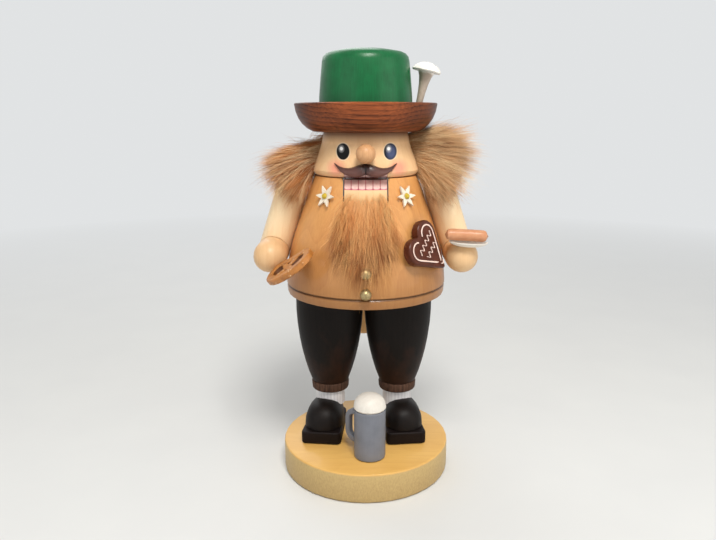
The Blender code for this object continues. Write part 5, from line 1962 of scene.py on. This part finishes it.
@dataclass
class Heart:
    """The gingerbread heart with its icing. Sizes are in millimetres, on its front."""

    dough: Lacquer = Lacquer(
        "gingerbread_paint", paint(98, 48, 30), paint(60, 28, 19), 0.36, 0.1, 0.5, 0.08, 5.0, 0.2
    )
    icing: Lacquer = Lacquer(
        "icing_paint", paint(246, 224, 212), paint(232, 200, 186), 0.45, 0.1, 0.4
    )
    edge: float = 1.7
    width: float = 0.95
    height: float = 0.4
    notch: float = 2.6
    notch_low: float = 2.0
    tip: float = 5.4
    long_edge: float = 4.0
    long_cuts: int = 11
    thread: float = 0.44
    wave: float = 1.25
    waves: tuple[tuple[float, float, float], ...] = ((2.8, 8.4, 4.5), (-3.4, 6.2, 3.5))
    corner: tuple[tuple[float, float], ...] = (
        (-1.7, 4.9),
        (-0.8, 4.0),
        (0.0, 3.3),
        (0.8, 4.0),
        (1.7, 4.9),
    )
    azimuth: float = math.radians(46.5)
    turn: float = math.radians(43.0)
    flat: float = 2.0
    forward: float = -0.3

    def front(self) -> bmesh.types.BMesh:
        """The heart's front face alone.

        Returns:
            A mesh with that face.
        """
        shape = merged("heart")
        flat = math.radians(self.flat)
        bmesh.ops.dissolve_limit(shape, angle_limit=flat, verts=shape.verts, edges=shape.edges)
        forward = [f for f in shape.faces if f.normal.y < self.forward]
        widest = max(forward, key=lambda f: f.calc_area())
        gone = [f for f in shape.faces if f is not widest]
        bmesh.ops.delete(shape, geom=gone, context="FACES")
        return shape

    def inset(self, shape: bmesh.types.BMesh, distance: float, keep_inner: bool) -> None:
        """Insets the only region of a mesh and keeps one side of the cut.

        Args:
            shape: The mesh.
            distance: How far inwards, in mm.
            keep_inner: Whether what lies inside stays, or the band round it.
        """
        made = bmesh.ops.inset_region(
            shape,
            faces=shape.faces,
            thickness=distance * MM,
            use_even_offset=True,
            use_boundary=True,
        )
        band = set(made["faces"])
        gone = [f for f in shape.faces if (f in band) == keep_inner]
        bmesh.ops.delete(shape, geom=gone, context="FACES")

    def line(self) -> bmesh.types.BMesh:
        """The icing line along the edge, open at the notch and near the tip.

        Returns:
            Its mesh.
        """
        shape = self.front()
        normal, middle, right, up = self.frame(shape)
        self.inset(shape, self.edge, True)
        self.inset(shape, self.width, False)
        least = self.long_edge * MM
        straight = [e for e in shape.edges if e.is_boundary and e.calc_length() > least]
        bmesh.ops.subdivide_edges(
            shape, edges=straight, cuts=self.long_cuts, use_grid_fill=True
        )
        tip = min((v.co.copy() for v in shape.verts), key=lambda co: co.dot(up))
        gone = []
        for band in shape.faces:
            centre = band.calc_center_median()
            across, along = (centre - middle).dot(right) / MM, (centre - middle).dot(up) / MM
            at_notch = abs(across) < self.notch and along > self.notch_low
            if at_notch or (centre - tip).length < self.tip * MM:
                gone.append(band)
        bmesh.ops.delete(shape, geom=gone, context="FACES")
        grown = bmesh.ops.extrude_face_region(shape, geom=shape.faces[:])["geom"]
        raised = [g for g in grown if isinstance(g, bmesh.types.BMVert)]
        bmesh.ops.translate(shape, verts=raised, vec=normal * self.height * MM)
        bmesh.ops.recalc_face_normals(shape, faces=shape.faces)
        ordered(shape)
        return shape

    def flourish(self) -> bmesh.types.BMesh:
        """Two wavy strokes of icing across the front, and a corner at the tip.

        Returns:
            Their mesh.
        """
        front = self.front()
        _, middle, right, up = self.frame(front)
        low = min((v.co - middle).dot(up) for v in front.verts) / MM
        front.free()
        paths = []
        for height, half, waves in self.waves:
            steps = int(half * 8)
            shares = [2 * i / steps - 1 for i in range(steps + 1)]
            rises = [height + self.wave * math.sin(share * waves * math.pi) for share in shares]
            paths.append([(half * share, rise) for share, rise in zip(shares, rises)])
        paths.append([(across, low + rise) for across, rise in self.corner])
        shape = bmesh.new()
        for path in paths:
            points = [middle + (right * across + up * rise) * MM for across, rise in path]
            stroke(shape, points, right, self.thread * MM)
        bmesh.ops.recalc_face_normals(shape, faces=shape.faces)
        ordered(shape)
        return shape

    def frame(self, front: bmesh.types.BMesh) -> tuple[Vector, Vector, Vector, Vector]:
        """How the heart hangs.

        Args:
            front: The mesh of its front face alone.

        Returns:
            The front's normal and middle, and the heart's own right and up.
        """
        face = front.faces[:][0]
        normal, middle = face.normal.copy(), face.calc_center_bounds()
        level = Vector((math.cos(self.azimuth), math.sin(self.azimuth), 0))
        rise = normal.cross(level)
        c, s = math.cos(self.turn), math.sin(self.turn)
        return normal, middle, level * c + rise * s, rise * c - level * s

    def build(self) -> None:
        """Builds the heart and its icing."""
        carry("heart", "gingerbread_heart", self.dough, soften=0.6)
        icings = (("icing_line", self.line(), 2), ("icing_flourish", self.flourish(), 1))
        for name, shape, levels in icings:
            piece = put(to_mesh(shape, name), name, self.icing, FIGURE)
            rounder = piece.modifiers.new("rounded", "SUBSURF")
            rounder.levels = rounder.render_levels = levels


@dataclass
class Treats:
    """Pretzel, plate with sausage, and mug."""

    dough: Baked = Baked("pretzel_paint")
    china: Lacquer = Lacquer(
        "plate_paint", paint(240, 236, 226), paint(220, 212, 198), 0.34, 0.3, 0.3
    )
    sausage: Lacquer = Lacquer(
        "sausage_paint", paint(212, 158, 120), paint(192, 126, 88), 0.34, 0.12, 0.4, 0.05, 4.0
    )
    mug: Lacquer = Lacquer(
        "mug_paint", paint(128, 131, 140), paint(106, 110, 119), 0.42, 0.05, 0.4, specular=0.2
    )
    foam: Lacquer = Lacquer(
        "foam_paint", paint(234, 230, 222), paint(214, 208, 198), 0.5, 0.1, 0.5, 0.2, 3.0
    )
    upward: float = 0.7
    rim_share: float = 0.6
    rim_facing: float = 0.25
    wall_fade: float = 1.5

    def pretzel(self) -> bmesh.types.BMesh:
        """The pretzel, with the walls of its openings marked for painted shade.

        Returns:
            Its mesh, with a mark of 1 on each face that is such a wall, which the crust's material
            paints in shade.
        """
        shape = merged("pretzel")
        mark = shape.faces.layers.float.new("hole_shade")
        tops = [f.normal * f.calc_area() for f in shape.faces if f.normal.z > self.upward]
        flat = sum(tops, Vector()).normalized()
        low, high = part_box("pretzel")
        centre = (Vector(low) + Vector(high)) / 2
        places = [(f, f.calc_center_median() - centre) for f in shape.faces]
        reach = max(place.length for _, place in places)
        for face, place in places:
            away = face.normal.dot(place.normalized()) > self.rim_facing
            outer = place.length > self.rim_share * reach and away
            wall = max(0.0, 1.0 - self.wall_fade * abs(face.normal.dot(flat)))
            face[mark] = 0.0 if outer else wall
        return shape

    def build(self) -> None:
        """Builds what the hands hold and the mug."""
        carry("pretzel", "sawn_pretzel", self.dough, soften=0.4, shape=self.pretzel())
        carry("plate", "turned_plate", self.china)
        carry("sausage", "turned_sausage", self.sausage)
        carry("mug_body", "turned_mug", self.mug, soften=0.3)
        carry("mug_handle", "bent_mug_handle", self.mug)
        carry("mug_foam", "turned_foam", self.foam)


@dataclass
class Dowels:
    """The dowels inside the figure."""

    wood: Wood = Wood("dowel_wood", light=paint(222, 190, 140), dark=paint(190, 150, 98))

    def build(self) -> None:
        """Gives each dowel its wood."""
        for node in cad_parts:
            if "dowel" in node:
                redress(node, self.wood)


@dataclass(frozen=True)
class Lamp:
    """A soft square lamp: its place and side in metres, its power in watts."""

    name: str
    place: tuple[float, float, float]
    power: float
    size: float
    tint: tuple[float, float, float]


@dataclass
class Studio:
    """Floor, lamps and camera."""

    floor: tuple[float, ...] = paint(226, 228, 228)
    floor_cloud: tuple[float, ...] = paint(220, 222, 223)
    floor_half: float = 40.0
    floor_patch: tuple[float, float, float] = (60.0, 60.0, 1.0)
    fade_start: float = 260.0
    fade_length: float = 900.0
    back: tuple[float, ...] = paint(236, 238, 239)
    back_strength: float = 0.9
    light: tuple[float, ...] = paint(255, 252, 246)
    light_strength: float = 0.35
    focal: float = 33.275
    sensor: float = 36.0
    shift: float = -0.01075
    stand: tuple[float, float, float] = (0.0, -0.4, 0.22257)
    tilt: float = 0.22991
    target: tuple[float, float, float] = (0.0, 0.0, 0.15)
    lamps: tuple[Lamp, ...] = (
        Lamp("key_lamp", (0.12, -0.6, 1.0), 9.3, 0.35, (1.0, 0.97, 0.92)),
        Lamp("fill_lamp", (-0.7, -0.7, 0.4), 1.45, 0.8, (0.97, 0.98, 1.0)),
        Lamp("side_lamp", (0.8, -0.5, 0.35), 2.5, 0.8, (1.0, 0.98, 0.95)),
        Lamp("back_lamp", (-0.3, 0.8, 0.8), 3.3, 0.8, (1.0, 1.0, 1.0)),
    )

    def backdrop(self) -> None:
        """Sets the world: pale to the camera and in reflections, softer as light."""
        world = bpy.data.worlds.new("studio")
        world.use_nodes = True
        nodes = Nodes(world.node_tree)
        path = nodes.node("ShaderNodeLightPath")
        rays = ("Is Camera Ray", "Is Glossy Ray", "Is Transmission Ray")
        camera, glossy, clear = (Value(nodes, path.outputs[ray]) for ray in rays)
        seen = (camera + glossy + clear).held()
        light = nodes.value("ShaderNodeBackground", {}, {0: self.light, 1: self.light_strength})
        shown = nodes.value("ShaderNodeBackground", {}, {0: self.back, 1: self.back_strength})
        either = nodes.value("ShaderNodeMixShader", {}, {0: seen, 1: light, 2: shown})
        nodes.node("ShaderNodeOutputWorld", {}, {0: either})
        bpy.context.scene.world = world

    def ground(self) -> None:
        """Lays the floor."""
        shape = bmesh.new()
        bmesh.ops.create_grid(shape, x_segments=2, y_segments=2, size=self.floor_half)
        mesh = to_mesh(shape, "floor")
        shader = Shader("floor_paper")
        x, y, _ = shader.where()
        cloud = shader.cloud(self.floor_patch, 3.0)
        base = shader.mix(self.floor, self.floor_cloud, cloud)
        shader.finish(base, 0.9, cloud, 0.02, Specular_IOR_Level=0.1)
        far = (((x * x + y * y) ** 0.5 - self.fade_start) / self.fade_length).held()
        lit = Value(shader, shader.surface.outputs[0])
        inputs = {"Color": self.back, "Strength": self.back_strength}
        shown = shader.value("ShaderNodeEmission", {}, inputs)
        paper = shader.value("ShaderNodeMixShader", {}, {0: far, 1: lit, 2: shown})
        shader.feed(shader.end.inputs[0], paper)
        mesh.materials.append(shader.material)
        floor = bpy.data.objects.new("floor", mesh)
        bpy.context.scene.collection.objects.link(floor)

    def hang(self, lamp: Lamp) -> None:
        """Hangs a lamp so that it faces the figure.

        Args:
            lamp: The lamp.
        """
        light = bpy.data.lights.new(lamp.name, "AREA")
        light.energy, light.size, light.color = lamp.power, lamp.size, lamp.tint
        hung = bpy.data.objects.new(lamp.name, light)
        hung.location = lamp.place
        way = Vector(self.target) - Vector(lamp.place)
        hung.rotation_euler = way.to_track_quat("-Z", "Y").to_euler()
        bpy.context.scene.collection.objects.link(hung)

    def camera(self) -> None:
        """Sets the camera of the photograph."""
        lens = bpy.data.cameras.new("camera")
        lens.lens, lens.sensor_width, lens.sensor_fit = self.focal, self.sensor, "HORIZONTAL"
        lens.shift_x, lens.clip_start = self.shift, 0.01
        camera = bpy.data.objects.new("camera", lens)
        camera.location = self.stand
        camera.rotation_euler = (math.pi / 2 - self.tilt, 0.0, 0.0)
        bpy.context.scene.collection.objects.link(camera)
        bpy.context.scene.camera = camera

    def build(self) -> None:
        """Sets up the studio."""
        bpy.context.scene.view_settings.view_transform = "Standard"
        self.camera()
        self.backdrop()
        self.ground()
        for lamp in self.lamps:
            self.hang(lamp)


def main() -> None:
    """Builds the whole figure and its studio."""
    logging.basicConfig(level=logging.INFO, format="%(message)s")
    Studio().build()
    kinds = (RoundBase, Legs, Torso, Arms, Head, Hat, Mouth, Hair, Heart, Treats, Dowels)
    for kind in kinds:
        part = kind()
        part.build()
        log.info("%s done", type(part).__name__)
    bpy.context.view_layer.update()


if __name__ == "__main__":
    main()
